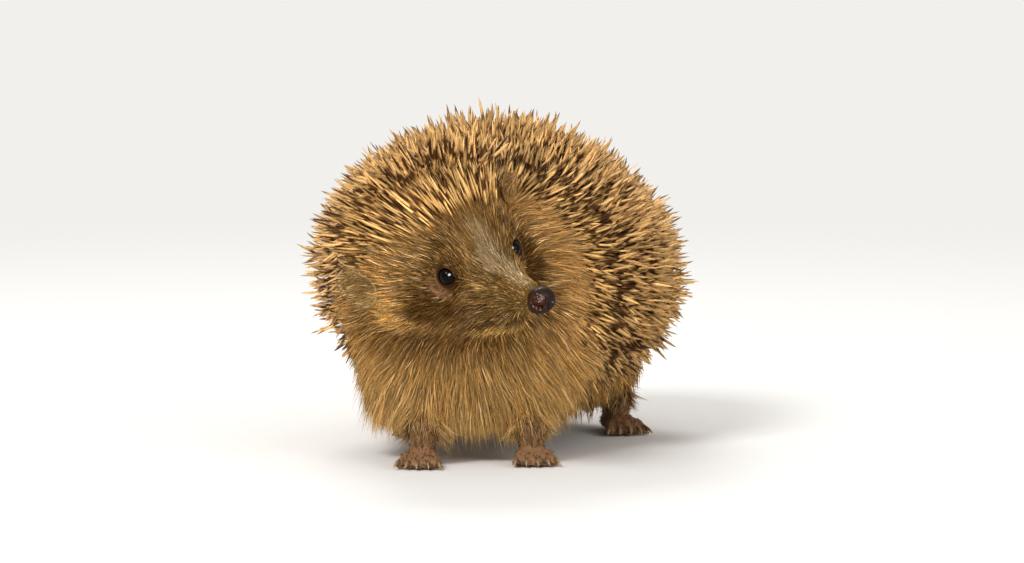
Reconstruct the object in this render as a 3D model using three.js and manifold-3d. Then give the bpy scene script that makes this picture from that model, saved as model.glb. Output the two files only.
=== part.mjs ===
// A young European hedgehog, life size: it stands half curled, with its head turned to its left.
// Millimetres, +Z up. The chest faces -Y, and the head turns towards +X, which is the animal's left.
// The origin is on the floor, under the middle of the whole animal.
// Every outline is that of the coat: the tips of the spines over the back, and of the fur elsewhere.

import * as THREE from "three";
import { mergeVertices } from "three/addons/utils/BufferGeometryUtils.js";
import Module from "manifold-3d";

const wasm = await Module();
wasm.setup();

// ---------------------------------------------------------------- driving dimensions

const BACK_HEIGHT = 98.5; // floor to the tips of the spines over the middle of the back
const BODY_WIDTH = 116; // across the spines of both flanks
const BODY_DEPTH = 138; // from the brow of the spiny hood to the rump
const BELLY_CLEARANCE = 7; // floor to the lowest fur of the belly and chest
const SPINE_STEP = 3.5; // how far the spines of the hood stand proud of the fur beside them
const SKIRT_HEIGHT = 20; // floor to the lowest spines

const HOOD_WIDTH = 79; // across the opening for the face and chest, at its rim
const HOOD_HEIGHT = 93;
const HOOD_LEAN = 25; // degrees, its top towards the left
const HOOD_PLACE = [-7.5, -4, 40]; // the middle of the opening, at its inner end
const HOOD_DEPTH = 110;
const HOOD_FLARE = { inner: 0.84, outer: 1.33 }; // its two ends, as shares of its size at the rim

const HEAD_TURN = 36; // degrees to its left, from straight ahead
const HEAD_NOD = 15; // degrees down
const HEAD_TILT = 17; // degrees, left ear up
const HEAD_PLACE = [-21.2, -36.4, 68.8]; // midway between the ears
const HEAD_WIDTH = 48; // across the cheeks
const NOSE_REACH = 58; // from between the ears to the nose
const MOUTH_CORNER = [32, 0, -15.2]; // in the head's own frame, as the places of the ears are
const MOUTH_RISE = 20; // degrees, up towards the nose
const NECK_DEPTH = 10; // how much of the neck shows under the jaw

const EYE_REACH = 28.8;
const EYE_SPREAD = 23.6; // between the two eyes' centres
const EYE_RADIUS = 3.1;
const EAR_HEIGHT = 15.5;
const EAR_WIDTH = 13;
const EAR_WALL = 1.1;
const EAR_PLACES = { right: [-0.5, -24.5, -6.5], left: [5, 24, 5.5] }; // the right one is laid back

const WRIST_HEIGHT = 8; // the cut between a leg and its paw
const SOLE_WIDTH = 12;
const TOE_FAN = 13; // degrees between neighbouring toes
const CLAW_LENGTH = 4.2;

const GAP = 0.4; // the thin cut between neighbouring parts
const NET_STEP = { body: 7.4, spines: 8.4, face: 4.0, sockets: 4.5, nose: 1.45 }; // mesh sizes
const NET_ERROR = 0.35; // how far a coarse net may lie off the form that it follows

// ---------------------------------------------------------------- distance fields

const vec = (x, y, z) => new THREE.Vector3(x, y, z);
const turned = (x, y, z, order = "XYZ") =>
  new THREE.Quaternion().setFromEuler(
    new THREE.Euler(
      THREE.MathUtils.degToRad(x),
      THREE.MathUtils.degToRad(y),
      THREE.MathUtils.degToRad(z),
      order,
    ),
  );

// The head's own frame: x towards the nose, y to its left, z up through the crown.
const headTurn = turned(HEAD_TILT, HEAD_NOD, HEAD_TURN - 90, "ZYX");
const inHead = (x, y, z) =>
  vec(x, y, z).applyQuaternion(headTurn).add(vec(...HEAD_PLACE));

// An ellipsoid's distance, close enough near its surface.
function ellipsoid(centre, radii, turn = new THREE.Quaternion()) {
  const back = turn.clone().invert();
  return (p) => {
    const q = p.clone().sub(centre).applyQuaternion(back);
    const near = Math.hypot(q.x / radii[0], q.y / radii[1], q.z / radii[2]);
    const slope = Math.hypot(
      q.x / radii[0] ** 2,
      q.y / radii[1] ** 2,
      q.z / radii[2] ** 2,
    );
    return slope < 1e-9 ? -Math.min(...radii) : (near * (near - 1)) / slope;
  };
}

// A cone with round ends, from point a with radius ra to point b with radius rb.
function roundCone(a, ra, b, rb) {
  const along = b.clone().sub(a);
  const span = along.lengthSq();
  return (p) => {
    const t = THREE.MathUtils.clamp(p.clone().sub(a).dot(along) / span, 0, 1);
    return p.distanceTo(a.clone().addScaledVector(along, t)) - ra - t * (rb - ra);
  };
}

// Two forms run into each other over about the given distance.
const blend = (a, b, reach) => {
  const h = Math.max(reach - Math.abs(a - b), 0) / reach;
  return Math.min(a, b) - (h * h * reach) / 4;
};
const melted = (forms, reach) => (p) =>
  forms.reduce((sum, form) => blend(sum, form(p), reach), Infinity);

// ---------------------------------------------------------------- the animal's forms

const mirrored = (make) => [make(-1), make(1)];

const trunk = melted(
  [
    ellipsoid(vec(-4, 4, 51), [0.47 * BODY_WIDTH, 40, 0.45 * BACK_HEIGHT]), // shoulders
    ellipsoid(vec(-1, 26, 51), [0.45 * BODY_WIDTH, 50, 0.465 * BACK_HEIGHT]), // back
    ellipsoid(vec(12, 49, 46), [45.5, 0.28 * BODY_DEPTH, 40]), // rump
  ],
  18,
);
const chest = ellipsoid(vec(-12, -22.5, 29), [35, 22, 27]);
const neck = roundCone(inHead(-8, -2, -4), 20, vec(-6, -4, 50), 33);
const cranium = [
  ellipsoid(inHead(2, 0, -1), [27, 23, 20], headTurn),
  ellipsoid(inHead(17, 0, 0), [20, 16, 13.5], headTurn),
  ...mirrored((side) =>
    ellipsoid(inHead(6, side * 11, -10), [20, HEAD_WIDTH / 2 - 11, 14], headTurn),
  ),
];
const snout = [
  roundCone(inHead(20, 0, -3), 14, inHead(NOSE_REACH - 5.5, 0, -0.3), 4.6),
  roundCone(inHead(16, 0, -17), 10.5, inHead(NOSE_REACH - 14.5, 0, -11.5), 4.8), // lower jaw
];
const head = melted([...cranium, ...snout], 7);

const aboveFloor = (p) => BELLY_CLEARANCE - p.z;
const onFeet = (form, p) => -blend(-form, -aboveFloor(p), 8);
const body = (p) => {
  const torso = blend(trunk(p), chest(p), 14);
  return onFeet(blend(blend(torso, neck(p), 12), head(p), 7), p);
};
// The spiny coat runs on over the back of the head, and fills the nape out.
const nape = roundCone(inHead(-5, -2, -1), 24, vec(-5, 3, 54), 42);
const spinyBody = (p) => {
  const torso = blend(trunk(p), chest(p), 14);
  return onFeet(blend(blend(torso, nape(p), 20), head(p) - SPINE_STEP, 16), p);
};

// ---------------------------------------------------------------- solids from fields

// The closed surface of a field inside a box, as a net with one vertex in each cell that it crosses.
function net(field, { low, high }, step) {
  const size = ["x", "y", "z"].map((k) => Math.ceil((high[k] - low[k]) / step) + 1);
  const at = (i, j, k) => vec(low.x + i * step, low.y + j * step, low.z + k * step);
  const index = (i, j, k) => i + size[0] * (j + size[1] * k);
  const values = new Float64Array(size[0] * size[1] * size[2]);
  const rim = (n, axis) => n === 0 || n === size[axis] - 1;
  for (let k = 0; k < size[2]; k++)
    for (let j = 0; j < size[1]; j++)
      for (let i = 0; i < size[0]; i++) {
        const outside = rim(i, 0) || rim(j, 1) || rim(k, 2);
        values[index(i, j, k)] = outside ? step : field(at(i, j, k));
      }

  const points = [];
  const cellVertex = new Map();
  const corners = [0, 1, 2, 3, 4, 5, 6, 7].map((c) => [c & 1, (c >> 1) & 1, c >> 2]);
  const edges = corners.flatMap((a, m) =>
    [1, 2, 4].filter((bit) => !(m & bit)).map((bit) => [m, m | bit]),
  );
  for (let k = 0; k < size[2] - 1; k++)
    for (let j = 0; j < size[1] - 1; j++)
      for (let i = 0; i < size[0] - 1; i++) {
        const held = corners.map(([x, y, z]) => values[index(i + x, j + y, k + z)]);
        const sum = vec(0, 0, 0);
        let crossings = 0;
        for (const [m, n] of edges)
          if (held[m] < 0 !== held[n] < 0) {
            const t = held[m] / (held[m] - held[n]);
            const [a, b] = [corners[m], corners[n]].map((c) => vec(...c));
            sum.add(a.lerp(b, t));
            crossings++;
          }
        if (!crossings) continue;
        cellVertex.set(index(i, j, k), points.length);
        const local = sum.divideScalar(crossings).multiplyScalar(step);
        points.push(onSurface(field, at(i, j, k).add(local), step, low, high));
      }

  const faces = [];
  const axes = [
    [1, 0, 0],
    [0, 1, 0],
    [0, 0, 1],
  ];
  for (let k = 0; k < size[2] - 1; k++)
    for (let j = 0; j < size[1] - 1; j++)
      for (let i = 0; i < size[0] - 1; i++)
        axes.forEach((step3, axis) => {
          if ([i, j, k].some((n, other) => other !== axis && n === 0)) return;
          const here = values[index(i, j, k)] < 0;
          const there = values[index(i + step3[0], j + step3[1], k + step3[2])] < 0;
          if (here === there) return;
          const [u, v] = [axes[(axis + 1) % 3], axes[(axis + 2) % 3]];
          const ring = [
            [0, 0],
            [1, 0],
            [1, 1],
            [0, 1],
          ].map(([s, t]) =>
            cellVertex.get(
              index(i - s * u[0] - t * v[0], j - s * u[1] - t * v[1], k - s * u[2] - t * v[2]),
            ),
          );
          const [a, b, c, d] = here ? ring : ring.reverse();
          const short = points[a].distanceTo(points[c]) <= points[b].distanceTo(points[d]);
          faces.push(...(short ? [a, b, c, a, c, d] : [a, b, d, b, c, d]));
        });

  const geometry = new THREE.BufferGeometry().setFromPoints(points);
  geometry.setIndex(faces);
  return solidOf(geometry);
}

// Moves a point of the net onto the field's surface, but never out of its cell's reach.
function onSurface(field, point, step, low, high) {
  const h = 0.05;
  const moved = point.clone();
  for (let pass = 0; pass < 3; pass++) {
    const value = field(moved);
    const slope = vec(
      field(moved.clone().add(vec(h, 0, 0))) - field(moved.clone().sub(vec(h, 0, 0))),
      field(moved.clone().add(vec(0, h, 0))) - field(moved.clone().sub(vec(0, h, 0))),
      field(moved.clone().add(vec(0, 0, h))) - field(moved.clone().sub(vec(0, 0, h))),
    ).divideScalar(2 * h);
    moved.addScaledVector(slope, -value / Math.max(slope.lengthSq(), 0.05));
  }
  const inside = new THREE.Box3(low, high).containsPoint(moved);
  return inside && moved.distanceTo(point) < 0.7 * step ? moved : point;
}

// A closed geometry as a solid that can be joined and cut, and back.
function solidOf(geometry) {
  const bare = geometry.clone();
  bare.deleteAttribute("normal");
  bare.deleteAttribute("uv");
  const merged = mergeVertices(bare, 1e-4);
  return new wasm.Manifold(
    new wasm.Mesh({
      numProp: 3,
      vertProperties: new Float32Array(merged.attributes.position.array),
      triVerts: new Uint32Array(merged.index.array),
    }),
  );
}

function geometryOf(solid) {
  const { numProp, vertProperties, triVerts } = solid.getMesh();
  const geometry = new THREE.BufferGeometry();
  const places = new THREE.BufferAttribute(new Float32Array(vertProperties), numProp);
  geometry.setAttribute("position", places);
  geometry.setIndex(new THREE.BufferAttribute(new Uint32Array(triVerts), 1));
  geometry.computeVertexNormals();
  return geometry;
}

const ball = (radius, wide = 12, high = 8) => new THREE.SphereGeometry(radius, wide, high);

const placed = (geometry, place, turn = new THREE.Quaternion()) =>
  solidOf(geometry.clone().applyQuaternion(turn).translate(place.x, place.y, place.z));

// The largest piece of what a cut leaves, without the crumbs.
const biggest = (solid) => solid.decompose().sort((a, b) => b.volume() - a.volume())[0];

// ---------------------------------------------------------------- where the body is parted

const FAR = 400; // larger than the whole animal

// Everything on the side of a plane that its normal points to, as a big block.
function beyond(point, normal, offset = 0) {
  const block = new THREE.BoxGeometry(FAR, FAR, FAR).translate(0, 0, FAR / 2 + offset);
  const turn = new THREE.Quaternion().setFromUnitVectors(vec(0, 0, 1), normal.clone().normalize());
  return placed(block, point, turn);
}

const reach = { low: vec(-75, -92, -2), high: vec(75, 115, 112) };
const faceReach = { low: vec(-62, -95, 20), high: vec(38, -12, 104) };
const whole = net(body, reach, NET_STEP.body);
const spiny = net(spinyBody, reach, NET_STEP.spines);
const face = net(body, faceReach, NET_STEP.face);
const bodyAndGap = net((p) => body(p) - GAP - NET_ERROR, reach, NET_STEP.sockets);

// The spines stop at the rim of an oval hood round the face and chest, a little tipped, and at the
// skirt of the flanks below it.
const hood = (extra) =>
  placed(
    new THREE.CylinderGeometry(HOOD_FLARE.inner, HOOD_FLARE.outer, HOOD_DEPTH + extra, 36)
      .scale(HOOD_WIDTH / 2 + extra, 1, HOOD_HEIGHT / 2 + extra)
      .translate(0, (extra - HOOD_DEPTH) / 2, 0),
    vec(...HOOD_PLACE),
    turned(-6, HOOD_LEAN, 0),
  );
const skirt = vec(0, 0, SKIRT_HEIGHT);

// The head is parted from the neck under the jaw, beside the left cheek and behind the ears, and
// the neck from the chest a little lower.
const inHeadFrom = (place, facing, extra) =>
  beyond(inHead(...place), vec(...facing).applyQuaternion(headTurn), -extra);
const overChin = (extra) => inHeadFrom([0, 0, -25], [0.12, 0, 1], extra);
const headBlock = (extra) =>
  overChin(extra)
    .intersect(inHeadFrom([12, 22, 0], [0.6, -0.8, 0.1], extra))
    .intersect(inHeadFrom([-10, 0, 0], [1, 0, 0], extra));

// The lower jaw: all of the muzzle under the line of the mouth, which rises towards the nose.
const jawBlock = (extra) =>
  placed(
    new THREE.BoxGeometry(40, 24, 10).translate(20 - extra, 0, extra - 5),
    inHead(...MOUTH_CORNER),
    headTurn.clone().multiply(turned(0, -MOUTH_RISE, 0)),
  );

// ---------------------------------------------------------------- eyes, nose and ears

const eyePlace = (side) => inHead(EYE_REACH, (side * EYE_SPREAD) / 2, 1.2);
const eyeball = (side, radius) => placed(ball(radius), eyePlace(side));

const noseField = melted(
  [
    ellipsoid(inHead(NOSE_REACH - 0.6, 0, 0.5), [4.2, 3.3, 3.4], headTurn),
    ...mirrored((side) =>
      ellipsoid(inHead(NOSE_REACH - 0.2, side * 2.0, -0.3), [3.7, 2.3, 2.7], headTurn),
    ),
  ],
  1.2,
);
const noseMiddle = inHead(NOSE_REACH, 0, 0);
function noseSolid(offset) {
  const low = noseMiddle.clone().subScalar(7 + offset);
  const high = noseMiddle.clone().addScalar(7 + offset);
  return net((p) => noseField(p) - offset, { low, high }, NET_STEP.nose);
}

// A cupped ear: a thin rounded shell, open forwards and outwards, in a pocket of the spiny coat.
const earForm = (wall) =>
  ball(1, 14, 10).scale(5 + wall, EAR_WIDTH / 2 + wall, EAR_HEIGHT / 2 + wall);
const earAt = (side, form) => {
  const lean = headTurn.clone().multiply(turned(side * -30, 0, side * 24, "ZYX"));
  return placed(form, inHead(...EAR_PLACES[side < 0 ? "right" : "left"]), lean);
};
function ear(side) {
  const bowl = earAt(side, earForm(-EAR_WALL).translate(3.2, 0, 0.4));
  return biggest(earAt(side, earForm(0)).subtract(bowl).subtract(bodyAndGap));
}
const earPocket = (side) => earAt(side, earForm(1.2)).subtract(whole);

// ---------------------------------------------------------------- legs, paws and tail

// A limb with round ends between two points, with so many sides and steps round each end.
function limb(a, ra, b, rb, sides = 12, steps = 4) {
  const along = b.clone().sub(a);
  const quarter = Array.from({ length: steps + 1 }, (_, n) => (n / steps) * (Math.PI / 2));
  const lower = quarter.map((t) => new THREE.Vector2(ra * Math.sin(t), -ra * Math.cos(t)));
  const upper = quarter.map(
    (t) => new THREE.Vector2(rb * Math.cos(t), along.length() + rb * Math.sin(t)),
  );
  lower[0].x = 0;
  upper[steps].x = 0;
  const turn = new THREE.Quaternion().setFromUnitVectors(vec(0, 1, 0), along.normalize());
  return placed(new THREE.LatheGeometry([...lower, ...upper], sides), a, turn);
}

const aboveGround = beyond(vec(0, 0, 0), vec(0, 0, 1));

// A paw flat on the floor: a pad, five toes fanned out from it and a claw on each.
function paw(place, heading, long) {
  const pad = placed(ball(1, 8, 6).scale(long / 2, SOLE_WIDTH / 2, 4.2), vec(0, 0, 2.6));
  let foot = pad;
  for (let n = -2; n <= 2; n++) {
    const fan = turned(0, 0, n * TOE_FAN);
    const knuckle = vec(long * 0.3, n * SOLE_WIDTH * 0.13, 2.7).applyQuaternion(turned(0, 0, n * 9));
    const reachOut = 5.2 - Math.abs(n) * 0.7;
    const tip = knuckle.clone().add(vec(reachOut, 0, -1.1).applyQuaternion(fan));
    const clawTip = tip.clone().add(vec(CLAW_LENGTH, 0, -0.9).applyQuaternion(fan));
    foot = foot.add(limb(knuckle, 2.1, tip, 1.6, 5, 1)).add(limb(tip, 0.9, clawTip, 0.35, 4, 1));
  }
  const turn = new THREE.Matrix4().makeRotationZ(THREE.MathUtils.degToRad(heading));
  turn.setPosition(place);
  return solidOf(geometryOf(foot).applyMatrix4(turn)).intersect(aboveGround);
}

const wrist = vec(0, 0, WRIST_HEIGHT);
const belowWrist = beyond(wrist, vec(0, 0, -1));
const aboveWrist = beyond(wrist, vec(0, 0, 1), GAP);
const legs = {
  foreleg_right: { hip: vec(-24, -27, 34), foot: vec(-23, -42, 0), heading: -97, sole: 12 },
  foreleg_left: { hip: vec(8, -24, 34), foot: vec(9, -36, 0), heading: -80, sole: 12 },
  hindleg_right: { hip: vec(-26, 44, 34), foot: vec(-24, 36, 0), heading: -98, sole: 24 },
  hindleg_left: { hip: vec(34, 48, 34), foot: vec(36, 42, 0), heading: -76, sole: 24 },
};

// ---------------------------------------------------------------- assembly

const hedgehog = new THREE.Group();
function part(name, solid, colour, roughness = 0.85) {
  const material = new THREE.MeshStandardMaterial({ color: colour, roughness, metalness: 0 });
  const mesh = new THREE.Mesh(geometryOf(solid), material);
  mesh.name = name;
  hedgehog.add(mesh);
}

const SPINES = "#a57b47";
const FUR = "#8f7145";
const FACE = "#7d623f";
const BARE_SKIN = "#6b5443";

const throat = whole.intersect(hood(0));
const muzzle = face.intersect(hood(0)).intersect(headBlock(0)).subtract(noseSolid(GAP));
const eyeSockets = eyeball(-1, EYE_RADIUS + GAP).add(eyeball(1, EYE_RADIUS + GAP));
const earPockets = earPocket(-1).add(earPocket(1));
const aboveSkirt = beyond(skirt, vec(0, 0, 1));
const belowSkirt = beyond(skirt, vec(0, 0, -1), GAP);

part("mantle", spiny.subtract(hood(GAP)).intersect(aboveSkirt).subtract(earPockets), SPINES);
part("belly", biggest(whole.subtract(hood(GAP)).intersect(belowSkirt)), FUR);
part("chest", throat.subtract(overChin(NECK_DEPTH + GAP)), FUR);
part("neck", throat.intersect(overChin(NECK_DEPTH)).subtract(headBlock(GAP)), FUR);
part("head", muzzle.subtract(eyeSockets).subtract(jawBlock(GAP)), FACE);
part("jaw", muzzle.intersect(jawBlock(0)), FACE);
part("nose", noseSolid(0), "#17120f", 0.25);
for (const [side, word] of [
  [-1, "right"],
  [1, "left"],
]) {
  part(`eye_${word}`, eyeball(side, EYE_RADIUS), "#0d0806", 0.1);
  part(`ear_${word}`, ear(side), BARE_SKIN);
}
for (const [name, leg] of Object.entries(legs)) {
  const ankle = leg.foot.clone().add(vec(0, 1, 5));
  const shank = limb(leg.hip, 9, ankle, 5.4, 10, 2);
  part(name, shank.intersect(aboveWrist).subtract(bodyAndGap), FUR);
  const foot = paw(leg.foot, leg.heading, leg.sole).add(shank.intersect(aboveGround));
  part(name.replace("leg", "paw"), foot.intersect(belowWrist), BARE_SKIN);
}

const tailRoot = vec(15, 74, 22);
const tailTip = vec(17, 87, 12);
part("tail", limb(tailRoot, 4.2, tailTip, 2.4, 10).subtract(bodyAndGap), BARE_SKIN);

const extent = new THREE.Box3().setFromObject(hedgehog);
const middle = extent.getCenter(vec(0, 0, 0));
hedgehog.position.set(-middle.x, -middle.y, -extent.min.z);

export default hedgehog;
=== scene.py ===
"""A life-size young hedgehog, standing half curled with its head turned to its left.

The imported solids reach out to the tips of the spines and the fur.  One skin is laid inside them,
the coat grows on that skin, and the eyes, nose, whiskers and claws are pieces of their own.
Metres, +Z up, in the frame of the solids.
"""

import logging
import math
from dataclasses import dataclass
from enum import Enum, IntEnum
from typing import ClassVar

import bmesh
import bpy
import numpy as np
from bpy.types import ID, Material, Mesh, Node, NodeSocket, NodeTree, Object
from mathutils import Matrix, Vector, kdtree, noise
from mathutils.bvhtree import BVHTree


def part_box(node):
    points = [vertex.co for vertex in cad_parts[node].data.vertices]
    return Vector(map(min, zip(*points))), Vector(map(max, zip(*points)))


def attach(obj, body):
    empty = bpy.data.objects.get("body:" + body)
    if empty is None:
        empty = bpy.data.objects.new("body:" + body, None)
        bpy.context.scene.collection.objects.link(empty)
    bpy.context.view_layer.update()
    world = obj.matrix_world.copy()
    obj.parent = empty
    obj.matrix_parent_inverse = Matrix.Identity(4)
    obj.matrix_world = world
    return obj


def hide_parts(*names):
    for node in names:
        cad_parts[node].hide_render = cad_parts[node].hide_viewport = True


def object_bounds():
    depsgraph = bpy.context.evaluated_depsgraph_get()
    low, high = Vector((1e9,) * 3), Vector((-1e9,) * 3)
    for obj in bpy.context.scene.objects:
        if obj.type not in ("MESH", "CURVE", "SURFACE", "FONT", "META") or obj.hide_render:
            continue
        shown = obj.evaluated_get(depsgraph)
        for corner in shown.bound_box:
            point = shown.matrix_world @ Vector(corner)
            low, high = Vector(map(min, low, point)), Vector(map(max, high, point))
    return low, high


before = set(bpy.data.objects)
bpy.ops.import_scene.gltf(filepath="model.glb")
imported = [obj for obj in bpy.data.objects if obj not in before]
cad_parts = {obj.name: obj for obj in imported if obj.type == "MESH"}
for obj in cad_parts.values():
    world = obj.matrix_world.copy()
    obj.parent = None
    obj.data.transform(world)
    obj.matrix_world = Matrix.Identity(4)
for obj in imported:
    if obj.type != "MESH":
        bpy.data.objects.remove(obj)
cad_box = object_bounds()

log = logging.getLogger("hedgehog")

MM = 0.001
BODY = "root"
SEED = 7
PATCH = 0.003  # the side of one hair's or spine's place on its OFBake map
Array = np.ndarray
Dice = np.random.Generator
Spot = tuple[float, float, float]  # forward, left and up on the head, in millimetres


class Side(IntEnum):
    """The animal's own sides, as the sign of a place to the left of its middle."""

    RIGHT = -1
    LEFT = 1

    @property
    def word(self) -> str:
        """How the names of solids and pieces call the side."""
        return self.name.lower()


# ------------------------ small helpers


def unit(vectors: Array) -> Array:
    """Vectors of length one, along the last axis."""
    return vectors / np.maximum(np.linalg.norm(vectors, axis=-1, keepdims=True), 1e-9)


def ease(share: Array) -> Array:
    """A smooth step from 0 to 1."""
    share = np.clip(share, 0.0, 1.0)
    return share * share * (3 - 2 * share)


def fade(distance: Array, near: float, far: float) -> Array:
    """One up to the near distance, falling smoothly to nothing at the far one."""
    return 1 - ease((distance - near) / (far - near))


def waver(places: Array, size: float, shift: float = 0.0) -> Array:
    """Smooth noise at each place, from about -1 to 1; the shift picks another part of it."""
    return np.array([noise.noise(Vector(p)) for p in places / size + shift])


def colour(code: str) -> Array:
    """A linear colour from a hexadecimal sRGB code."""
    shares = np.array([int(code[i : i + 2], 16) for i in (1, 3, 5)]) / 255
    return np.where(shares <= 0.04045, shares / 12.92, ((shares + 0.055) / 1.055) ** 2.4)


def grey(level: float) -> Spot:
    """A linear colour that only darkens or lightens what it is multiplied with."""
    return (level, level, level)


def spread(dice: Dice, *shape: int) -> Array:
    """Bell-shaped random numbers without outliers."""
    return np.clip(dice.normal(size=shape), -2.0, 2.0)


def turned(course: Array, normal: Array, angle: Array) -> Array:
    """Unit directions along a surface, each turned about its normal by an angle in radians."""
    aside = np.cross(normal, course)
    return course * np.cos(angle)[:, None] + aside * np.sin(angle)[:, None]


def middle(node: str) -> Array:
    """The middle of a solid's box."""
    low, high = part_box(node)
    return np.array((low + high) / 2)


def linked(name: str, data: ID) -> Object:
    """Adds an object to the scene.

    Args:
        name: its name.
        data: its mesh, lamp or lens.

    Returns:
        The object.
    """
    made = bpy.data.objects.new(name, data)
    bpy.context.scene.collection.objects.link(made)
    return made


def net(name: str, points: Array | list, faces: Array | list) -> Mesh:
    """A new mesh.

    Args:
        name: its name.
        points: its vertices, one a row.
        faces: its faces, as an array where all have as many corners.

    Returns:
        The mesh.
    """
    mesh = bpy.data.meshes.new(name)
    if isinstance(faces, np.ndarray):
        starts = np.arange(0, faces.size, faces.shape[1], dtype=np.int32)
        mesh.vertices.add(len(points))
        mesh.vertices.foreach_set("co", np.ascontiguousarray(points, np.float32).ravel())
        mesh.loops.add(faces.size)
        mesh.loops.foreach_set("vertex_index", faces.astype(np.int32).ravel())
        mesh.polygons.add(len(faces))
        mesh.polygons.foreach_set("loop_start", starts)
        mesh.update(calc_edges=True)
    else:
        mesh.from_pydata([tuple(p) for p in points], [], faces)
    return mesh


def piece(name: str, points: Array, faces: Array | list) -> Object:
    """Adds a smooth-shaded object, at the origin.

    Args:
        name: its name.
        points: its vertices, one a row.
        faces: its faces, as for net.

    Returns:
        The object.
    """
    mesh = net(name, points, faces)
    mesh.shade_smooth()
    return linked(name, mesh)


def settled(made: Object) -> Object:
    """Turns an object's modifiers into plain mesh.

    Args:
        made: the object, which is changed.

    Returns:
        The same object.
    """
    graph = bpy.context.evaluated_depsgraph_get()
    plain = bpy.data.meshes.new_from_object(made.evaluated_get(graph))
    made.modifiers.clear()
    made.data = plain
    return made


def numbers(source: object, name: str, width: int = 1, kind: type = float) -> Array:
    """What each element of a mesh holds under a name.

    Args:
        source: the mesh's vertices, edges, corners or another of its collections.
        name: what is read.
        width: how many numbers each element holds.
        kind: the type of the numbers.

    Returns:
        The numbers, one row for each element where there are more than one.
    """
    flat = np.empty(len(source) * width, kind)
    source.foreach_get(name, flat)
    return flat.reshape(-1, width) if width > 1 else flat


def points_of(mesh: Mesh) -> Array:
    """A mesh's vertices, one a row."""
    return numbers(mesh.vertices, "co", 3)


def normals_of(mesh: Mesh) -> Array:
    """A mesh's vertex normals, one a row."""
    return numbers(mesh.vertex_normals, "vector", 3)


def move_points(mesh: Mesh, points: Array) -> None:
    """Puts a mesh's vertices at new places."""
    mesh.vertices.foreach_set("co", points.astype(np.float32).ravel())
    mesh.update()


def store(mesh: Mesh, name: str, values: Array) -> None:
    """Keeps values on a mesh's vertices.

    Args:
        mesh: the mesh.
        name: what the values are kept under.
        values: numbers, or linear colours of three channels.
    """
    if values.ndim == 1:
        mesh.attributes.new(name, "FLOAT", "POINT").data.foreach_set("value", values)
        return
    rgba = np.concatenate([values, np.ones((len(values), 1))], axis=1)
    mesh.attributes.new(name, "FLOAT_COLOR", "POINT").data.foreach_set("color", rgba.ravel())


def store_map(mesh: Mesh, corners: Array) -> None:
    """Keeps a map of the surface under the name that the export looks for."""
    layer = mesh.uv_layers.new(name="OFBake")
    layer.data.foreach_set("uv", corners.astype(np.float32).ravel())


def dress(made: Object, material: Material, slot: str, *nodes: str) -> None:
    """Finishes a piece.

    Args:
        made: the piece.
        material: its only material.
        slot: not used.
        nodes: the solids that the piece stands for.
    """
    made.data.materials.clear()
    made.data.materials.append(material)
    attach(made, BODY)
    if nodes:
        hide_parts(*nodes)
    log.info("%s: %d faces", made.name, len(made.data.polygons))


def right_way_out(mesh: Mesh) -> Mesh:
    """Merges a closed mesh's doubles and turns all of its faces outwards.

    Args:
        mesh: the mesh, which is changed.

    Returns:
        The same mesh.
    """
    part = bmesh.new()
    part.from_mesh(mesh)
    bmesh.ops.remove_doubles(part, verts=part.verts, dist=0.001 * MM)
    bmesh.ops.recalc_face_normals(part, faces=part.faces)
    part.to_mesh(mesh)
    part.free()
    return mesh


def globe(rows: int, columns: int) -> tuple[Array, Array, list]:
    """A round net with closed poles.

    Args:
        rows: how many bands of faces there are from pole to pole.
        columns: how many faces there are in a band.

    Returns:
        The angle from the first pole and the angle round, for each point, and the faces.
    """
    slope = np.linspace(0, math.pi, rows + 1)[1:-1]
    turn = np.arange(columns) * math.tau / columns
    s = np.concatenate([[0.0], np.repeat(slope, columns), [math.pi]])
    t = np.concatenate([[0.0], np.tile(turn, rows - 1), [0.0]])
    faces = []
    for k in range(columns):
        n = (k + 1) % columns
        faces.append((0, 1 + k, 1 + n))
        for row in range(rows - 2):
            a, b = 1 + row * columns + k, 1 + row * columns + n
            faces.append((a, a + columns, b + columns, b))
        low = 1 + (rows - 2) * columns
        faces.append((len(s) - 1, low + n, low + k))
    return s, t, faces


def point_tree(places: Array, chosen: Array | range) -> kdtree.KDTree:
    """Makes a tree that finds the nearest of some places.

    Args:
        places: all of them, one a row.
        chosen: the indices of those that count.

    Returns:
        The tree, which gives an index.
    """
    tree = kdtree.KDTree(len(chosen))
    for index in chosen:
        tree.insert(places[index], int(index))
    tree.balance()
    return tree


def face_tree(*meshes: Mesh) -> BVHTree:
    """A tree that finds the nearest face, or the first one on a ray.

    Args:
        meshes: what the faces belong to.

    Returns:
        The tree.
    """
    part = bmesh.new()
    for mesh in meshes:
        part.from_mesh(mesh)
    tree = BVHTree.FromBMesh(part)
    part.free()
    return tree


def pour(part: bmesh.types.BMesh, mass: bmesh.types.BMesh) -> None:
    """Adds one shape to a mass of shapes.

    Args:
        part: the shape, which is freed.
        mass: what it is added to.
    """
    kept = bpy.data.meshes.new("part")
    part.to_mesh(kept)
    part.free()
    mass.from_mesh(kept)
    bpy.data.meshes.remove(kept)


def even_net(name: str, mass: bmesh.types.BMesh, voxel: float) -> Object:
    """Melts a mass of shapes into one even closed net.

    Args:
        name: the name of the new object.
        mass: the shapes, which are freed.
        voxel: how fine the net is.

    Returns:
        The object.
    """
    mesh = bpy.data.meshes.new(name)
    mass.to_mesh(mesh)
    mass.free()
    made = linked(name, mesh)
    remesh = made.modifiers.new("net", "REMESH")
    remesh.mode = "VOXEL"
    remesh.voxel_size = voxel
    return settled(made)


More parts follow.
